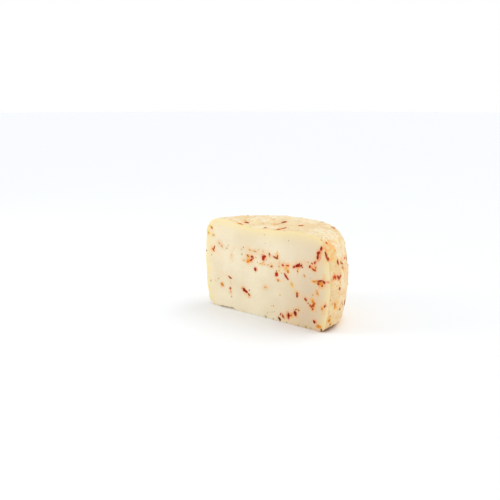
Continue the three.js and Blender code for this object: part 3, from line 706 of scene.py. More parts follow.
def apply_modifier(piece, name, kind, **settings):
    modifier = piece.modifiers.new(name, kind)
    for key, value in settings.items():
        setattr(modifier, key, value)
    bpy.context.view_layer.objects.active = piece
    bpy.ops.object.modifier_apply(modifier=modifier.name)


def rows_of(collection, key):
    """Three numbers for each item of a mesh's collection."""
    flat = np.empty(len(collection) * 3, dtype=np.float32)
    collection.foreach_get(key, flat)
    return flat.reshape(-1, 3).astype(np.float64)


def points_of(mesh):
    """A mesh's points in millimetres."""
    return rows_of(mesh.vertices, "co") / MM


def normals_of(mesh):
    return rows_of(mesh.vertex_normals, "vector")


def set_points(mesh, points):
    mesh.vertices.foreach_set("co", (points * MM).astype(np.float32).ravel())
    mesh.update()


def store(mesh, name, kind, key, rows):
    """Keeps a number or a colour for each point of the mesh, for its material to read."""
    attribute = mesh.attributes.new(name, kind, "POINT")
    attribute.data.foreach_set(key, rows.astype(np.float32).ravel())


# ---------- The half wheel ----------

def half_wheel_blank(sizes):
    """A drum with both edges rounded, cut upright through its middle, with crumbs lost from the cut."""
    select_nothing()
    radius, height = sizes.radius, sizes.rim_height
    bpy.ops.mesh.primitive_cylinder_add(
        vertices=DRUM_SIDES, radius=radius, depth=height, location=(0, 0, height / 2))
    blank = bpy.context.object
    bpy.ops.object.transform_apply(location=True, rotation=False, scale=False)
    for level, rounding, steps in (
        (height, sizes.top_shoulder, EDGE_STEPS["top"]), (0, MM * BLANK_SHOULDER, EDGE_STEPS["base"]),
    ):
        select_edges_at(blank, level)
        bpy.ops.object.mode_set(mode="EDIT")
        bpy.ops.mesh.bevel(offset=rounding, segments=steps, profile=0.5, affect="EDGES")
        bpy.ops.object.mode_set(mode="OBJECT")
    bpy.ops.object.mode_set(mode="EDIT")
    bpy.ops.mesh.select_all(action="SELECT")
    bpy.ops.mesh.bisect(plane_co=(0, 0, 0), plane_no=(0, 1, 0), use_fill=True, clear_inner=True)
    bpy.ops.mesh.select_all(action="SELECT")
    bpy.ops.mesh.normals_make_consistent(inside=False)
    bpy.ops.object.mode_set(mode="OBJECT")
    select_nothing()
    for chip in CHIPS:
        half = Vector((chip["length"] / 2, chip["depth"], chip["height"])) * MM
        bpy.ops.mesh.primitive_uv_sphere_add(
            radius=1, location=(chip["x"] * MM, 0, 0), scale=half, **CHIP_BALL)
        crumb = bpy.context.object
        apply_modifier(blank, "lost crumb", "BOOLEAN", operation="DIFFERENCE", object=crumb, solver="EXACT")
        bpy.data.objects.remove(crumb)
    return blank


def wall_radius(height, turn, radius, rim_height):
    from_middle = 2 * height / rim_height - 1
    draw_in = np.where(from_middle > 0, between(TOP_DRAW_IN, turn), between(BASE_DRAW_IN, turn))
    return radius - draw_in * from_middle ** 2


def top_height(reach, turn, rim_height, centre_height):
    rise = smooth_step(reach, between(DISH_START, turn), between(DISH_END, turn))
    return part_way((centre_height, rim_height), rise)


def swell(x, y, z):
    """Height of the rind's slow mounds."""
    slanted = (x + SWELL_SKEW["y"] * y, y + SWELL_SKEW["x"] * x, z + SWELL_SKEW["z"] * x)
    total = np.zeros_like(x)
    for height, spacing in SWELLS:
        a, b, c = (2 * math.pi * distance / spacing for distance in slanted)
        across = np.sin(a + SWELL_BEND * np.sin(b)) * np.cos(b - SWELL_BEND * np.sin(c))
        up = np.sin(c + SWELL_BEND * np.cos(a))
        total += height * (SWELL_SHARES["across"] * across + SWELL_SHARES["up"] * up)
    return total * smooth_step(z, 0, SWELL_FADE)


def rind_shares(reach, height, sizes):
    """How far the rind's outward direction points out and up, and how deep a point lies below it."""
    shoulder = sizes.top_shoulder / MM
    out = np.maximum(0, reach - (sizes.radius / MM - shoulder))
    up = np.maximum(0, height - (sizes.rim_height / MM - shoulder))
    length = np.maximum(np.hypot(out, up), NO_LENGTH)
    return out / length, up / length, shoulder - length


def formed(points, sizes):
    """Moves the blank's points to the wheel's own uneven form."""
    radius, rim_height, shoulder = sizes.radius / MM, sizes.rim_height / MM, sizes.top_shoulder / MM
    x, y, height = points.T
    reach, turn = np.hypot(x, y), np.arctan2(np.maximum(y, 0), x)
    out, up, depth = rind_shares(reach, height, sizes)
    corner = between(BASE_SHOULDER, turn)
    growth = corner / BLANK_SHOULDER - 1
    fade_in = 1 - smooth_step(radius - reach, BLANK_SHOULDER, SHOULDER_FADE["in"] * BLANK_SHOULDER)
    fade_up = 1 - smooth_step(height, BLANK_SHOULDER, SHOULDER_FADE["up"] * BLANK_SHOULDER)
    reach = radius - (radius - reach) * (1 + growth * fade_in * fade_up)
    height = height * (1 + growth * fade_in * fade_up)
    held = np.clip(height, corner, rim_height - shoulder)
    draw_in = radius - wall_radius(held, turn, radius, rim_height)
    reach = reach - draw_in * smooth_step(reach, 0, radius - shoulder)
    height = height * top_height(reach, turn, rim_height, sizes.centre_height / MM) / rim_height
    raise_by = swell(reach * np.cos(turn), reach * np.sin(turn), height)
    raise_by = raise_by * (1 - smooth_step(depth, 0, SWELL_REACH))
    height = height * (1 - RIM_TILT * (reach * np.cos(turn) / radius) / rim_height)
    reach, height = reach + out * raise_by, height + up * raise_by
    return np.column_stack([reach * np.cos(turn), reach * np.sin(turn), np.maximum(height, 0)])


def relief_noise(points, look):
    stretched = points * np.array(look.get("stretch", UNSTRETCHED))
    noise = lattice_noise(stretched, look["spacing"], look["seed"])
    return smooth_step(noise, *look["window"]) if "window" in look else noise - 0.5


def relief(points, rindness, sizes):
    """Small relief along the normals: lumps and dimples in the rind, slow knife waves in the cut."""
    x, y, z = points.T
    from_rough = (x - ROUGH_PLACE["x"]) ** 2 + (y - ROUGH_PLACE["y"]) ** 2
    rough_patch = relief_noise(points, ROUGH_PATCHES)
    rough_patch = np.maximum(rough_patch, np.exp(-from_rough / ROUGH_PLACE["radius"] ** 2))
    lumps = RIND_SHARES["lumps"] * relief_noise(points, LUMPS)
    knobs = RIND_SHARES["knobs"] * relief_noise(points, KNOBS)
    pit_share = RIND_SHARES["pits"] + RIND_SHARES["pits in rough patches"] * rough_patch
    rind = lumps + knobs - pit_share * relief_noise(points, PITS)
    cut = relief_noise(points, KNIFE_WAVES) - TEAR_SHARE * relief_noise(points, KNIFE_TEARS)
    rind_height = rindness * rind * sizes.rind_relief / MM
    cut_height = (1 - rindness) * cut * sizes.cut_relief / MM
    return smooth_step(z, *CLEAR_OF_BASE) * (rind_height + cut_height)


def blot(first, second, tables, scale_first):
    """Summed soft ellipses: for each kind, rows of first, second, length, width, lean and strength."""
    amounts = np.zeros((len(first), len(STAIN_KINDS)))
    for table in tables:
        for kind, rows in table.items():
            channel = amounts[:, STAIN_KINDS.index(kind)]
            for at_first, at_second, length, width, lean, strength in rows:
                du, dv = (first - at_first) * scale_first, second - at_second
                reach = BLOT_REACH["for each length"] * length + BLOT_REACH["more"]
                near = np.flatnonzero(np.abs(du) + np.abs(dv) < reach)
                cosine, sine = math.cos(math.radians(lean)), math.sin(math.radians(lean))
                along = (du[near] * cosine + dv[near] * sine) / (length / 2)
                aside = (dv[near] * cosine - du[near] * sine) / (width / 2)
                spread = strength * np.exp(-BLOT_FALL * (along ** 2 + aside ** 2))
                channel[near] = 1 - (1 - channel[near]) * (1 - spread)
    return amounts


def flake_halos(flakes):
    """Stain rows that give each flake a soft oily edge."""
    rows = {kind: [] for kind in STAIN_KINDS}
    for tone, first, second, lean, length, width in flakes:
        kind, strength = HALOS[tone]
        near = (length + NEAR_HALO["longer"], width + NEAR_HALO["wider"])
        far = (length + FAR_HALO["longer"], width + FAR_HALO["wider"])
        rows[kind].append((first, second, *near, lean, strength))
        rows["pink"].append((first, second, *far, lean, FAR_HALO["strength"] * strength))
    return rows


def stains(points, rindness, sizes):
    """Amounts of each stain kind at each point: red, orange, yellow, pink and brown; the brown is mostly
    painted shade in the gaps under the base, and one mark on the top.
    """
    warp = [lattice_noise(points, STAIN_WARP["spacing"], seed) - 0.5 for seed in STAIN_WARP["seeds"]]
    x, y, z = (points + STAIN_WARP["reach"] * np.column_stack(warp)).T
    turn = np.degrees(np.arctan2(y, x))
    arc = math.radians(1) * sizes.radius / MM
    flakes = all_flakes()
    on_cut = blot(x, z, (CUT_STAINS, flake_halos(flakes["cut"])), 1)
    on_wall = blot(turn, z, (WALL_STAINS, spread_blotches(), flake_halos(flakes["wall"])), arc)
    on_top = blot(x, y, (TOP_STAINS, flake_halos(flakes["top"])), 1)
    up = rind_shares(np.hypot(points[:, 0], points[:, 1]), points[:, 2], sizes)[1]
    topness = smooth_step(up, *TOP_FACING)[:, None]
    on_rind = on_wall * (1 - topness) + on_top * topness
    return on_cut * (1 - rindness[:, None]) + on_rind * rindness[:, None]


def below_rim(z, depths, sizes):
    """From 0 at the first depth below the rim to 1 at the second."""
    rim = sizes.rim_height / MM
    return smooth_step(z, rim - depths[0], rim - depths[1])


def deepening(points, rindness, sizes):
    """How much deeper the colour is: in the paste towards the right rind and lower down, partly its own
    tone and partly painted shade of the light falling off from the left; in the wall towards its foot.
    """
    x, _, z = points.T
    paste = smooth_step(x, *PASTE_DEEPENING_AND_SHADE["x"])
    paste = paste * (1 - PASTE_DEEPENING_AND_SHADE["less above"] * smooth_step(z, *PASTE_DEEPENING_AND_SHADE["height"]))
    foot = DEEP_WALL["foot share"] * (1 - smooth_step(z, *DEEP_WALL["foot"]))
    wall = (1 - below_rim(z, DEEP_WALL["below rim"], sizes)) * (DEEP_WALL["even share"] + foot)
    return paste * (1 - rindness) + wall * rindness


def mould_print(points, rindness, sizes):
    """Share of the dimples that the mould left: on the top towards its right shoulder."""
    x, y, z = points.T
    beside = smooth_step(x + MOULD_PRINT["slant"] * y, *MOULD_PRINT["x"])
    return below_rim(z, MOULD_PRINT["below rim"], sizes) * beside * rindness


def build_half_wheel(sizes):
    piece = half_wheel_blank(sizes)
    piece.name = piece.data.name = "half_wheel_paste"
    apply_modifier(piece, "even skin", "REMESH", mode="VOXEL", voxel_size=sizes.grain)
    apply_modifier(piece, "soft edges", "SMOOTH", factor=0.5, iterations=2)
    mesh = piece.data
    points = points_of(mesh)
    on_cut = smooth_step(-points[:, 1], *CUT_SKIN)
    depth = rind_shares(np.hypot(points[:, 0], points[:, 1]), points[:, 2], sizes)[2]
    points = formed(points, sizes)
    set_points(mesh, points)
    rindness = 1 - on_cut * smooth_step(-normals_of(mesh)[:, 1], *CUT_FACING)
    points = points + normals_of(mesh) * relief(points, rindness, sizes)[:, None]
    points[:, 2] = np.maximum(points[:, 2], 0)
    band = np.exp(-(np.maximum(depth, 0) / RIM_BAND["width"]) ** RIM_BAND["fall"]) * (1 - rindness)
    amounts = stains(points, rindness, sizes)
    # The last channel of the zones is the brown, mostly painted shade in the gaps under the base.
    zones = np.column_stack([rindness, band, deepening(points, rindness, sizes), amounts[:, 4]])
    store(mesh, "zones", "FLOAT_COLOR", "color", zones)
    store(mesh, "stains", "FLOAT_COLOR", "color", amounts[:, :4])
    store(mesh, "mould_print", "FLOAT", "value", mould_print(points, rindness, sizes))
    points[:, 1] -= sizes.radius / MM / 2
    set_points(mesh, points)
    select_only(piece)
    bpy.ops.object.shade_smooth()
    return piece


# ---------- Chili flakes ----------

def spread_rows(spread, coordinates, draw):
    """Rows at an even spread: each next one is a golden share further on in one direction."""
    rows = []
    for index in range(spread["flakes"]):
        share = (index + 0.5) / spread["flakes"]
        first, second = coordinates((index * GOLDEN_SHARE + SPREAD_START) % 1, share)
        length = part_way(SPREAD_LENGTH, draw() ** 2)
        width = max(SPREAD_WIDTH["share"] * length, SPREAD_WIDTH["least"])
        tone = SPREAD_TONES[(index + spread["first tone"]) % len(SPREAD_TONES)]
        rows.append((tone, first, second, 180 * draw(), length, width))
    return tuple(rows)


def all_flakes():
    """The flakes of the cut, the wall and the top: those with their own place, then the even spread."""
    draw = seeded_draws(SEED_OF_PLACES)

    def wall_place(a, b):
        return part_way(WALL_SPREAD["turn"], b), part_way(WALL_SPREAD["height"], a)

    def top_place(a, b):
        turn = math.radians(part_way(TOP_SPREAD["turn"], a))
        reach = part_way(TOP_SPREAD["reach"], math.sqrt(b))
        return reach * math.cos(turn), reach * math.sin(turn)

    wall = WALL_FLAKES + spread_rows(WALL_SPREAD, wall_place, draw)
    top = TOP_FLAKES + spread_rows(TOP_SPREAD, top_place, draw)
    return {"cut": CUT_FLAKES, "wall": wall, "top": top}


def spread_blotches():
    """Stain rows over the wall's far side."""
    draws = np.random.default_rng(SEED_OF_BLOTCHES)
    rows = {kind: [] for kind in STAIN_KINDS}
    for index in range(WALL_BLOTCHES["count"]):
        turn = part_way(WALL_BLOTCHES["turn"], (index + 0.5) / WALL_BLOTCHES["count"])
        rise = (index * GOLDEN_SHARE + draws.uniform(-BLOTCH_SHIFT, BLOTCH_SHIFT)) % 1
        height = part_way(WALL_BLOTCHES["height"], rise)
        length = draws.uniform(*BLOTCH_LENGTH)
        width = length * draws.uniform(*BLOTCH_WIDTH_SHARE)
        lean = draws.uniform(*BLOTCH_LEAN)
        kind = BLOTCH_KINDS[index % len(BLOTCH_KINDS)]
        rows[kind].append((turn, height, length, width, lean, draws.uniform(*BLOTCH_STRENGTH)))
    return rows


class CheeseSurface:
    """The finished surface of the half wheel, for laying flakes on it."""

    def __init__(self, piece, sizes):
        mesh = piece.data
        corners = [tuple(face.vertices) for face in mesh.polygons]
        places = [vertex.co for vertex in mesh.vertices]
        self.tree = BVHTree.FromPolygons(places, corners)
        self.axis = Vector((0, -sizes.radius / 2, 0))

    def hit(self, start, direction):
        place, normal, _, _ = self.tree.ray_cast(start, direction)
        return place, normal

    def foot(self, side, first, second):
        """Where a flake's middle lies, with the surface's mean normal there."""
        if side == "cut":
            start, direction = Vector((first * MM, -1, second * MM)), BACKWARDS
            aside, up = RIGHTWARDS, UPWARDS
        elif side == "wall":
            turn = math.radians(first)
            outwards = Vector((math.cos(turn), math.sin(turn), 0))
            start, direction = self.axis + outwards + Vector((0, 0, second * MM)), -outwards
            aside, up = Vector((-outwards.y, outwards.x, 0)), UPWARDS
        else:
            start, direction = self.axis + Vector((first * MM, second * MM, 1)), Vector((0, 0, -1))
            aside, up = RIGHTWARDS, BACKWARDS
        middle, normal = self.hit(start, direction)
        if middle is None:
            return None, None
        total = normal.copy()
        for step in (aside, -aside, up, -up):
            _, nearby = self.hit(start + step * NORMAL_REACH * MM, direction)
            if nearby is not None:
                total += nearby
        return middle, total.normalized()

    def settle(self, place, normal):
        """The point of the surface under a place, along the flake's own normal where that is near."""
        found, _ = self.hit(place + normal * SETTLE_FROM * MM, -normal)
        if found is None or (found - place).length > SETTLE_NEAR * MM:
            found = self.tree.find_nearest(place)[0]
        return found


def directions_of(normal, lean):
    """The directions along and across a flake with that lean, on a surface with that normal."""
    guide = UPWARDS if abs(normal.z) < NEARLY_LEVEL else BACKWARDS
    level = guide.cross(normal).normalized()
    turned = math.radians(lean)
    along = level * math.cos(turned) + normal.cross(level) * math.sin(turned)
    return along, normal.cross(along)


class FlakeHeap:
    """Gathers many flakes into the arrays of one mesh."""

    def __init__(self, surface, looks, seed):
        self.surface = surface
        self.looks = looks
        self.draws = np.random.default_rng(seed)
        self.places = []
        self.faces = []
        self.colours = []

    def add(self, side, row, rise, corners):
        tone, first, second, lean, length, width = row
        middle, normal = self.surface.foot(side, first, second)
        if middle is None:
            return
        along, aside = directions_of(normal, lean)
        draws = self.draws
        ragged = self.outline(corners)
        bend = draws.uniform(-BENT["most"], BENT["most"]) * (length > BENT["least slimness"] * width)
        skew = draws.uniform(-SKEWED, SKEWED)
        point_share = draws.uniform(*POINTED)
        start = len(self.places)
        base = np.array(getattr(self.looks, tone)) * draws.uniform(*BRIGHTNESS)
        edge = base * EDGE_BRIGHTER
        edge = edge + (np.array(EDGE_TINTS[tone]) - edge) * draws.uniform(*EDGE_TINT_SHARE)
        fade = draws.uniform(-FADE_ALONG, FADE_ALONG)
        self.lay(middle, normal, rise * draws.uniform(*RISE_SPREAD), base * MIDDLE_DARKER)
        for reach, level_share, edge_share in FLAKE_RINGS:
            for index in range(corners):
                angle = 2 * math.pi * (index + 0.25) / corners
                shape = ragged[index] if reach > EVEN_REACH else 1
                cosine = math.cos(angle)
                u = 0.5 * length * reach * shape * math.copysign(abs(cosine) ** point_share, cosine)
                v = 0.5 * width * reach * shape * math.sin(angle) * (1 + skew * cosine)
                v += bend * 0.5 * width * (2 * u / length) ** 2
                place = self.surface.settle(middle + (along * u + aside * v) * MM, normal)
                jitter = 1 + LEVEL_SPREAD * draws.uniform(-1, 1) if level_share > 0 else 1
                tint = (base + (edge - base) * edge_share) * draws.uniform(*TINT_SPREAD)
                self.lay(place, normal, rise * level_share * jitter, tint * (1 + fade * 2 * u / length))
        self.lay(self.surface.settle(middle, normal), normal, UNDERSIDE * rise, base)
        self.skin(start, corners)

    def skin(self, start, corners):
        """Faces of one flake: a fan over its middle, bands between its rings and a fan underneath."""
        first_ring = start + 1
        rim = first_ring + (len(FLAKE_RINGS) - 1) * corners
        last = rim + corners
        for index in range(corners):
            following = (index + 1) % corners
            self.faces.append((start, first_ring + index, first_ring + following))
            for inner in range(first_ring, rim, corners):
                outer = inner + corners
                self.faces.append((inner + index, outer + index, outer + following, inner + following))
            self.faces.append((last, rim + following, rim + index))

    def outline(self, corners):
        """Reach of each corner of a torn flake: a few straight tears with small nicks between them."""
        draws = self.draws
        tears = max(TEARS["least"], corners // TEARS["corners each"])
        reach = TEARS["reach"] + TEARS["spread"] * draws.standard_normal(tears).clip(*TEARS["limits"])
        reach[draws.integers(tears)] *= TEARS["one short"]
        along = np.arange(corners) * tears / corners
        reach = np.interp(along, np.arange(tears + 1), np.append(reach, reach[0]))
        return reach * (1 + NICKS["spread"] * draws.standard_normal(corners).clip(*NICKS["limits"]))

    def lay(self, place, normal, height, colour):
        self.places.append(place + normal * height * MM)
        self.colours.append((*np.clip(colour, 0, 1), 1.0))

    def piece(self, name):
        mesh = bpy.data.meshes.new(name)
        mesh.from_pydata([tuple(place) for place in self.places], [], self.faces)
        store(mesh, "tone", "FLOAT_COLOR", "color", np.array(self.colours))
        piece = bpy.data.objects.new(name, mesh)
        bpy.context.scene.collection.objects.link(piece)
        select_only(piece)
        bpy.ops.object.shade_smooth_by_angle(angle=SHARP_EDGE)
        return piece


def crumb_rows(looks, sizes, neighbours):
    """The crumbs of the cut, and small ones scattered over the whole wall and top."""
    draws = np.random.default_rng(SEED_OF_CRUMBS)
    turn_each, width_share = CUT_CRUMB_SHAPE["degrees for each mm"], CUT_CRUMB_SHAPE["width share"]
    cut = [(tone, x, z, turn_each * x % 180, size, width_share * size) for tone, x, z, size in CUT_CRUMBS]
    rows = {"cut": cut, "wall": [], "top": []}
    for index in range(looks.crumbs):
        size = CRUMB_SIZE["least"] + CRUMB_SIZE["more"] * draws.random() ** 2
        shape = (size, size * draws.uniform(*CRUMB_WIDTH_SHARE))
        lean = 180 * draws.random()
        tone = CRUMB_TONES[draws.integers(len(CRUMB_TONES))]
        side = "wall"
        if index % BESIDE_FLAKES["of each"] < BESIDE_FLAKES["first"]:
            _, turn, height = neighbours[draws.integers(len(neighbours))][:3]
            away, bearing = draws.uniform(*CRUMB_AWAY), 2 * math.pi * draws.random()
            turn += math.degrees(away * math.cos(bearing) * MM / sizes.radius)
            place = (turn, height + away * math.sin(bearing))
        elif draws.random() < LOOSE_ON_WALL["share"]:
            place = (180 * draws.random(), LOOSE_ON_WALL["lowest"] + LOOSE_ON_WALL["rise"] * draws.random())
        else:
            side = "top"
            reach, turn = LOOSE_ON_TOP["reach"] * math.sqrt(draws.random()), math.pi * draws.random()
            place = (reach * math.cos(turn), max(LOOSE_ON_TOP["clear of cut"], reach * math.sin(turn)))
        rows[side].append((tone, *place, lean, *shape))
    return rows


def build_flakes(name, tones, seed):
    """All flakes and crumbs of the given tones as one piece."""
    scene = bpy.context.scene
    surface = CheeseSurface(bpy.data.objects["half_wheel_paste"], scene.wheel_sizes)
    heap = FlakeHeap(surface, scene.chili_looks, seed)
    flakes = all_flakes()
    crumbs = crumb_rows(scene.chili_looks, scene.wheel_sizes, flakes["wall"])
    for rows, rise, corners in ((flakes, FLAKE_RISE, FLAKE_CORNERS), (crumbs, CRUMB_RISE, CRUMB_CORNERS)):
        for side in SIDES:
            for row in rows[side]:
                if row[0] in tones:
                    heap.add(side, row, rise[side], corners[side])
    return heap.piece(name)


# ---------- Materials ----------

class Recipe:
    """Adds nodes to one material or world and links them."""

    def __init__(self, owner):
        owner.use_nodes = True
        self.tree = owner.node_tree
        self.tree.nodes.clear()

    def node(self, kind, inputs=None, **settings):
        made = self.tree.nodes.new(kind)
        for key, value in settings.items():
            setattr(made, key, value)
        for key, value in (inputs or {}).items():
            self.feed(made.inputs[key], value)
        return made

    def feed(self, socket, value):
        if isinstance(value, bpy.types.NodeSocket):
            self.tree.links.new(value, socket)
        elif socket.type == "RGBA" and len(value) == 3:
            socket.default_value = (*value, 1)
        else:
            socket.default_value = value

    def stored(self, name):
        """What the mesh keeps under that name."""
        return self.node("ShaderNodeAttribute", attribute_name=name).outputs

    def parts(self, colour):
        return self.node("ShaderNodeSeparateColor", {"Color": colour}).outputs

    def pattern_place(self, look):
        place = self.node("ShaderNodeTexCoord").outputs["Object"]
        stretch = look.get("stretch", UNSTRETCHED)
        return self.node("ShaderNodeMapping", {"Vector": place, "Scale": stretch}).outputs["Vector"]

    def noise(self, look):
        """Noise from 0 to 1, faded in over the look's window if it has one."""
        inputs = {
            "Vector": self.pattern_place(look), "Scale": 1 / (look["spacing"] * MM),
            "Detail": look.get("detail", 3), "Roughness": look.get("roughness", 0.55)}
        value = self.node("ShaderNodeTexNoise", inputs).outputs["Fac"]
        return self.window(value, look["window"]) if "window" in look else value

    def dots(self, look):
        """Round spots in uneven rows; the window holds their outer and inner radii in spacings."""
        inputs = {
            "Vector": self.pattern_place(look), "Scale": 1 / (look["spacing"] * MM),
            "Randomness": look["randomness"]}
        return self.window(self.node("ShaderNodeTexVoronoi", inputs).outputs["Distance"], look["window"])

    def window(self, value, span):
        """0 before the span, 1 past it and smooth between its ends."""
        inputs = {"Value": value, "From Min": span[0], "From Max": span[1]}
        return self.node("ShaderNodeMapRange", inputs, interpolation_type="SMOOTHSTEP").outputs["Result"]

    def math(self, operation, *values):
        return self.node("ShaderNodeMath", dict(enumerate(values)), operation=operation).outputs[0]

    def times(self, a, b):
        return self.math("MULTIPLY", a, b)

    def plus(self, a, b):
        return self.math("ADD", a, b)

    def mix(self, share, a, b):
        """From a where the share is 0 to b where it is 1, for two colours."""
        made = self.node("ShaderNodeMix", {0: share, 6: a, 7: b}, data_type="RGBA")
        return made.outputs[2]

    def mix_numbers(self, share, a, b):
        return self.node("ShaderNodeMix", {0: share, 2: a, 3: b}, data_type="FLOAT").outputs[0]

    def cover(self, base, share, strength, tint):
        """Lays a tint over the base colour, by the share and never stronger than the strength."""
        return self.mix(self.times(share, strength), base, tint)

    def finish(self, shader):
        self.node("ShaderNodeOutputMaterial", {"Surface": shader.outputs["BSDF"]})


def paste_and_rind(colours):
    """Ivory paste on the cut, golden mottled rind, oil stains from the stored amounts, and painted shade in
    the gaps under the base and, with the paste's own deeper tone, towards the cut's lower right.
    """
    material = bpy.data.materials.new("paste_and_rind")
    recipe = Recipe(material)
    zones, stained = recipe.stored("zones"), recipe.stored("stains")
    rindness, band, deep = recipe.parts(zones["Color"])
    red, orange, yellow = recipe.parts(stained["Color"])
    # Brown, mostly painted shade in the gaps under the base.
    brown = zones["Alpha"]

    cut = recipe.mix(recipe.noise(CLOUDS), colours.paste_light, colours.paste_deep)
    grain, pinholes = recipe.noise(GRAIN), recipe.noise(PINHOLES)
    for share, look in ((grain, GRAIN), (recipe.noise(CURDS), CURDS), (pinholes, PINHOLES)):
        cut = recipe.cover(cut, share, look["strength"], look["tint"])
    # Deeper paste towards the right and lower down: partly the paste's own tone, partly painted shade.
    cut = recipe.cover(cut, deep, DEEP_STRENGTH["paste"], colours.paste_right_shaded)
    cut = recipe.cover(cut, band, BAND_STRENGTH, colours.rim_band)

    mottle = recipe.noise(MOTTLE)
    gold = recipe.plus(recipe.noise(SLOW_MOTTLE), recipe.times(mottle, GOLD["mottle"]))
    gold = recipe.plus(recipe.window(gold, GOLD["window"]), recipe.times(deep, DEEP_STRENGTH["rind"]))
    rind = recipe.cover(colours.rind_pale, gold, GOLD["strength"], colours.rind_gold)
    rust = recipe.plus(recipe.noise(RUST), recipe.times(mottle, RUSTY["mottle"]))
    rind = recipe.cover(rind, recipe.window(rust, RUSTY["window"]), RUSTY["strength"], colours.rind_rust)
    dimples = recipe.times(recipe.dots(DIMPLES), recipe.noise(DIMPLE_GAPS))
    dimples = recipe.times(dimples, recipe.stored("mould_print")["Fac"])
    for share, look in ((recipe.noise(DUST), DUST), (recipe.noise(BLOOM), BLOOM), (dimples, DIMPLES)):
        rind = recipe.cover(rind, share, look["strength"], look["tint"])

    colour = recipe.mix(rindness, cut, rind)
    flow = recipe.times(recipe.noise(STAIN_FLOW), FLOW_SHARE)
    amounts = {"pink": stained["Alpha"], "yellow": yellow, "orange": orange, "red": red, "brown": brown}
    for kind, look in STAIN_LOOKS.items():
        amount = amounts[kind]
        share = recipe.times(recipe.window(recipe.plus(amount, flow), look["window"]), look["strength"])
        colour = recipe.mix(recipe.times(share, recipe.window(amount, STAIN_BEGINS)), colour, look["tint"])

    rough_cut = recipe.math("MULTIPLY_ADD", grain, CUT_ROUGHNESS["grain"], CUT_ROUGHNESS["even"])
    rough_rind = recipe.math("MULTIPLY_ADD", mottle, RIND_ROUGHNESS["mottle"], RIND_ROUGHNESS["even"])
    rough_rind = recipe.plus(rough_rind, recipe.times(brown, RIND_ROUGHNESS["brown stain and gap shade"]))

    fine = recipe.noise(FINE_GRAIN)
    drag = recipe.times(recipe.noise(KNIFE_DRAG), CUT_BUMP["drag"])
    cut_height = recipe.plus(recipe.times(fine, CUT_BUMP["fine"]), drag)
    cut_height = recipe.math("SUBTRACT", cut_height, recipe.times(pinholes, CUT_BUMP["pinholes"]))
    rind_height = recipe.times(fine, RIND_BUMP["fine"])
    for holes, depth in ((recipe.noise(PORES), RIND_BUMP["pores"]), (dimples, RIND_BUMP["dimples"])):
        rind_height = recipe.math("SUBTRACT", rind_height, recipe.times(holes, depth))
    height = recipe.mix_numbers(rindness, cut_height, rind_height)
    bump = recipe.node("ShaderNodeBump", {"Height": height, "Strength": 0.55, "Distance": 0.4 * MM})
    recipe.finish(recipe.node("ShaderNodeBsdfPrincipled", {
        "Base Color": colour, "Roughness": recipe.mix_numbers(rindness, rough_cut, rough_rind),
        "Normal": bump.outputs["Normal"], "IOR": 1.44,
        "Subsurface Weight": 0.22, "Subsurface Radius": (1.0, 0.62, 0.32), "Subsurface Scale": 3.5 * MM,
    }))
    return material


def chili(name, roughness, wetness):
    """Dried chili soaked in the cheese's fat, coloured by each flake's stored tone."""
    material = bpy.data.materials.new(name)
    recipe = Recipe(material)
    tone = recipe.stored("tone")["Color"]
    veins = recipe.noise(VEINS)
    lit = tone
    for share, look in ((veins, VEIN_LOOK), (recipe.noise(FLECKS), FLECK_LOOK)):
        lit = recipe.cover(lit, share, look["strength"], recipe.mix(look["tint share"], tone, look["tint"]))
    bump = recipe.node("ShaderNodeBump", {
        "Height": recipe.noise(WRINKLES), "Strength": 0.7, "Distance": 0.25 * MM})
    recipe.finish(recipe.node("ShaderNodeBsdfPrincipled", {
        "Base Color": lit, "Roughness": recipe.math("MULTIPLY_ADD", veins, VEIN_LOOK["rougher"], roughness),
        "Normal": bump.outputs["Normal"], "Specular IOR Level": wetness,
        "Subsurface Weight": 0.08, "Subsurface Radius": (1.0, 0.35, 0.15), "Subsurface Scale": 0.8 * MM,
    }))
    return material


def pale_floor(looks):
    material = bpy.data.materials.new("pale_floor")
    recipe = Recipe(material)
    cloud = recipe.noise(FLOOR_CLOUDS)
    shade = recipe.cover(looks.floor_colour, cloud, FLOOR_CLOUD["strength"], FLOOR_CLOUD["tint"])
    # Painted warm shade beside the wall's right end, standing in for the shadow there and the cheese's warm
    # bounce light.
    place = recipe.node("ShaderNodeTexCoord").outputs["Object"]
    axis = -bpy.context.scene.wheel_sizes.radius / 2
    away = recipe.node("ShaderNodeVectorMath", {0: place, 1: (0, axis, 0)}, operation="DISTANCE")
    x, y, _ = recipe.node("ShaderNodeSeparateXYZ", {"Vector": place}).outputs
    behind_cut = recipe.window(y, (axis - PAINTED_WARM_SHADE["before cut"], axis))
    beside = recipe.times(recipe.window(x, PAINTED_WARM_SHADE["x"]), behind_cut)
    painted_warm_shade = recipe.times(recipe.window(away.outputs["Value"], PAINTED_WARM_SHADE["away"]), beside)
    shade = recipe.cover(shade, painted_warm_shade, PAINTED_WARM_SHADE["strength"], PAINTED_WARM_SHADE["tint"])
    recipe.finish(recipe.node("ShaderNodeBsdfPrincipled", {"Base Color": shade, "Roughness": 0.6}))
    return material


# ---------- Operators ----------

class CHEESE_OT_half_wheel(bpy.types.Operator):
    """Builds the half wheel: paste, cut face and rind in one piece"""

    bl_idname = "cheese.half_wheel"
    bl_label = "Half wheel"

    def execute(self, context):
        piece = build_half_wheel(context.scene.wheel_sizes)
        piece.data.materials.clear()
        piece.data.materials.append(paste_and_rind(context.scene.cheese_colours))
        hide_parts("half_wheel")
        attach(piece, "root")
        return {"FINISHED"}


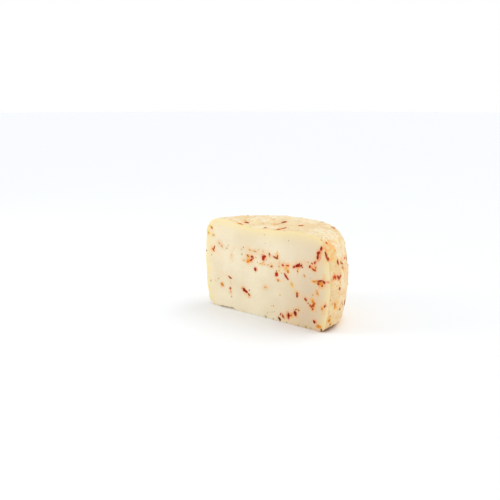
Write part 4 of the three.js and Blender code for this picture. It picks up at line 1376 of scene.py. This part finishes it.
class CHEESE_OT_red_flakes(bpy.types.Operator):
    """Lays the red chili flakes"""

    bl_idname = "cheese.red_flakes"
    bl_label = "Red flakes"

    def execute(self, context):
        piece = build_flakes("red_chili_flakes", RED_TONES, SEED_OF_OUTLINES)
        piece.data.materials.append(chili("red_chili", roughness=0.42, wetness=0.08))
        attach(piece, "root")
        return {"FINISHED"}


class CHEESE_OT_brown_flakes(bpy.types.Operator):
    """Lays the brown chili flakes and crumbs"""

    bl_idname = "cheese.brown_flakes"
    bl_label = "Brown flakes"

    def execute(self, context):
        piece = build_flakes("brown_chili_flakes", BROWN_TONES, SEED_OF_OUTLINES + 1)
        piece.data.materials.append(chili("brown_chili", roughness=0.48, wetness=0.08))
        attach(piece, "root")
        return {"FINISHED"}


class CHEESE_OT_orange_flakes(bpy.types.Operator):
    """Lays the orange bits and the pale seeds"""

    bl_idname = "cheese.orange_flakes"
    bl_label = "Orange bits and seeds"

    def execute(self, context):
        piece = build_flakes("orange_chili_bits", ORANGE_TONES, SEED_OF_OUTLINES + 2)
        piece.data.materials.append(chili("orange_chili", roughness=0.42, wetness=0.10))
        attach(piece, "root")
        return {"FINISHED"}


def light(name, kind, place, aim, power):
    """A lamp at its place that shines towards its aim."""
    bpy.ops.object.light_add(type=kind, location=place)
    lamp = bpy.context.object
    lamp.name = name
    lamp.data.energy = power
    lamp.rotation_euler = (Vector(aim) - lamp.location).to_track_quat("-Z", "Y").to_euler()
    return lamp


class CHEESE_OT_stage(bpy.types.Operator):
    """Sets the pale floor, the soft light and the camera"""

    bl_idname = "cheese.stage"
    bl_label = "Stage"

    def execute(self, context):
        scene = context.scene
        looks = scene.stage_looks
        select_nothing()
        bpy.ops.mesh.primitive_circle_add(
            vertices=FLOOR_SIDES, radius=FLOOR_RADIUS, fill_type="NGON", location=(0, 0, 0))
        floor = context.object
        floor.name = "floor"
        floor.data.materials.append(pale_floor(looks))

        lamp = light("left_lamp", "AREA", LAMP["place"], LAMP["aim"], looks.left_power)
        lamp.data.shape = "DISK"
        lamp.data.size = LAMP["size"]
        window = light("window_behind", "SUN", WINDOW["place"], (0, 0, 0), looks.window_strength)
        window.data.angle = WINDOW["width"]

        world = bpy.data.worlds.new("even_sky")
        scene.world = world
        recipe = Recipe(world)
        lighting = recipe.node("ShaderNodeBackground", {"Color": SKY_TINT, "Strength": looks.sky_light})
        seen = recipe.node("ShaderNodeBackground", {"Color": (1, 1, 1), "Strength": 1})
        direct = recipe.node("ShaderNodeLightPath").outputs["Is Camera Ray"]
        both = recipe.node("ShaderNodeMixShader", {0: direct, 1: lighting.outputs[0], 2: seen.outputs[0]})
        recipe.node("ShaderNodeOutputWorld", {"Surface": both.outputs[0]})

        camera = bpy.data.objects.new("camera", bpy.data.cameras.new("camera"))
        scene.collection.objects.link(camera)
        camera.data.lens = looks.lens
        camera.data.sensor_width = SENSOR_WIDTH
        camera.data.clip_start = NEAREST_SEEN
        camera.location = looks.eye
        camera.rotation_euler = (math.pi / 2 - looks.dip, 0, looks.turn)
        scene.camera = camera
        scene.view_settings.view_transform = "Standard"
        return {"FINISHED"}


GROUPS = {
    "wheel_sizes": WheelSizes,
    "cheese_colours": CheeseColours,
    "chili_looks": ChiliLooks,
    "stage_looks": StageLooks,
}
BUILD_STEPS = (
    CHEESE_OT_half_wheel,
    CHEESE_OT_red_flakes,
    CHEESE_OT_brown_flakes,
    CHEESE_OT_orange_flakes,
    CHEESE_OT_stage,
)


class CHEESE_PT_sidebar(bpy.types.Panel):
    """Lists the steps that build the half wheel"""

    bl_idname = "CHEESE_PT_sidebar"
    bl_label = "Chili cheese half wheel"
    bl_space_type = "VIEW_3D"
    bl_region_type = "UI"
    bl_category = "Cheese"

    def draw(self, context):
        for step in BUILD_STEPS:
            self.layout.operator(step.bl_idname)
        for group in GROUPS:
            box = self.layout.box()
            values = getattr(context.scene, group)
            for name in values.__annotations__:
                box.prop(values, name)


def register():
    for name, group in GROUPS.items():
        bpy.utils.register_class(group)
        setattr(bpy.types.Scene, name, PointerProperty(type=group))
    for step in BUILD_STEPS:
        bpy.utils.register_class(step)
    bpy.utils.register_class(CHEESE_PT_sidebar)


def unregister():
    bpy.utils.unregister_class(CHEESE_PT_sidebar)
    for step in reversed(BUILD_STEPS):
        bpy.utils.unregister_class(step)
    for name, group in reversed(GROUPS.items()):
        delattr(bpy.types.Scene, name)
        bpy.utils.unregister_class(group)


def main():
    register()
    bpy.ops.cheese.half_wheel()
    bpy.ops.cheese.red_flakes()
    bpy.ops.cheese.brown_flakes()
    bpy.ops.cheese.orange_flakes()
    bpy.ops.cheese.stage()


if __name__ == "__main__":
    main()
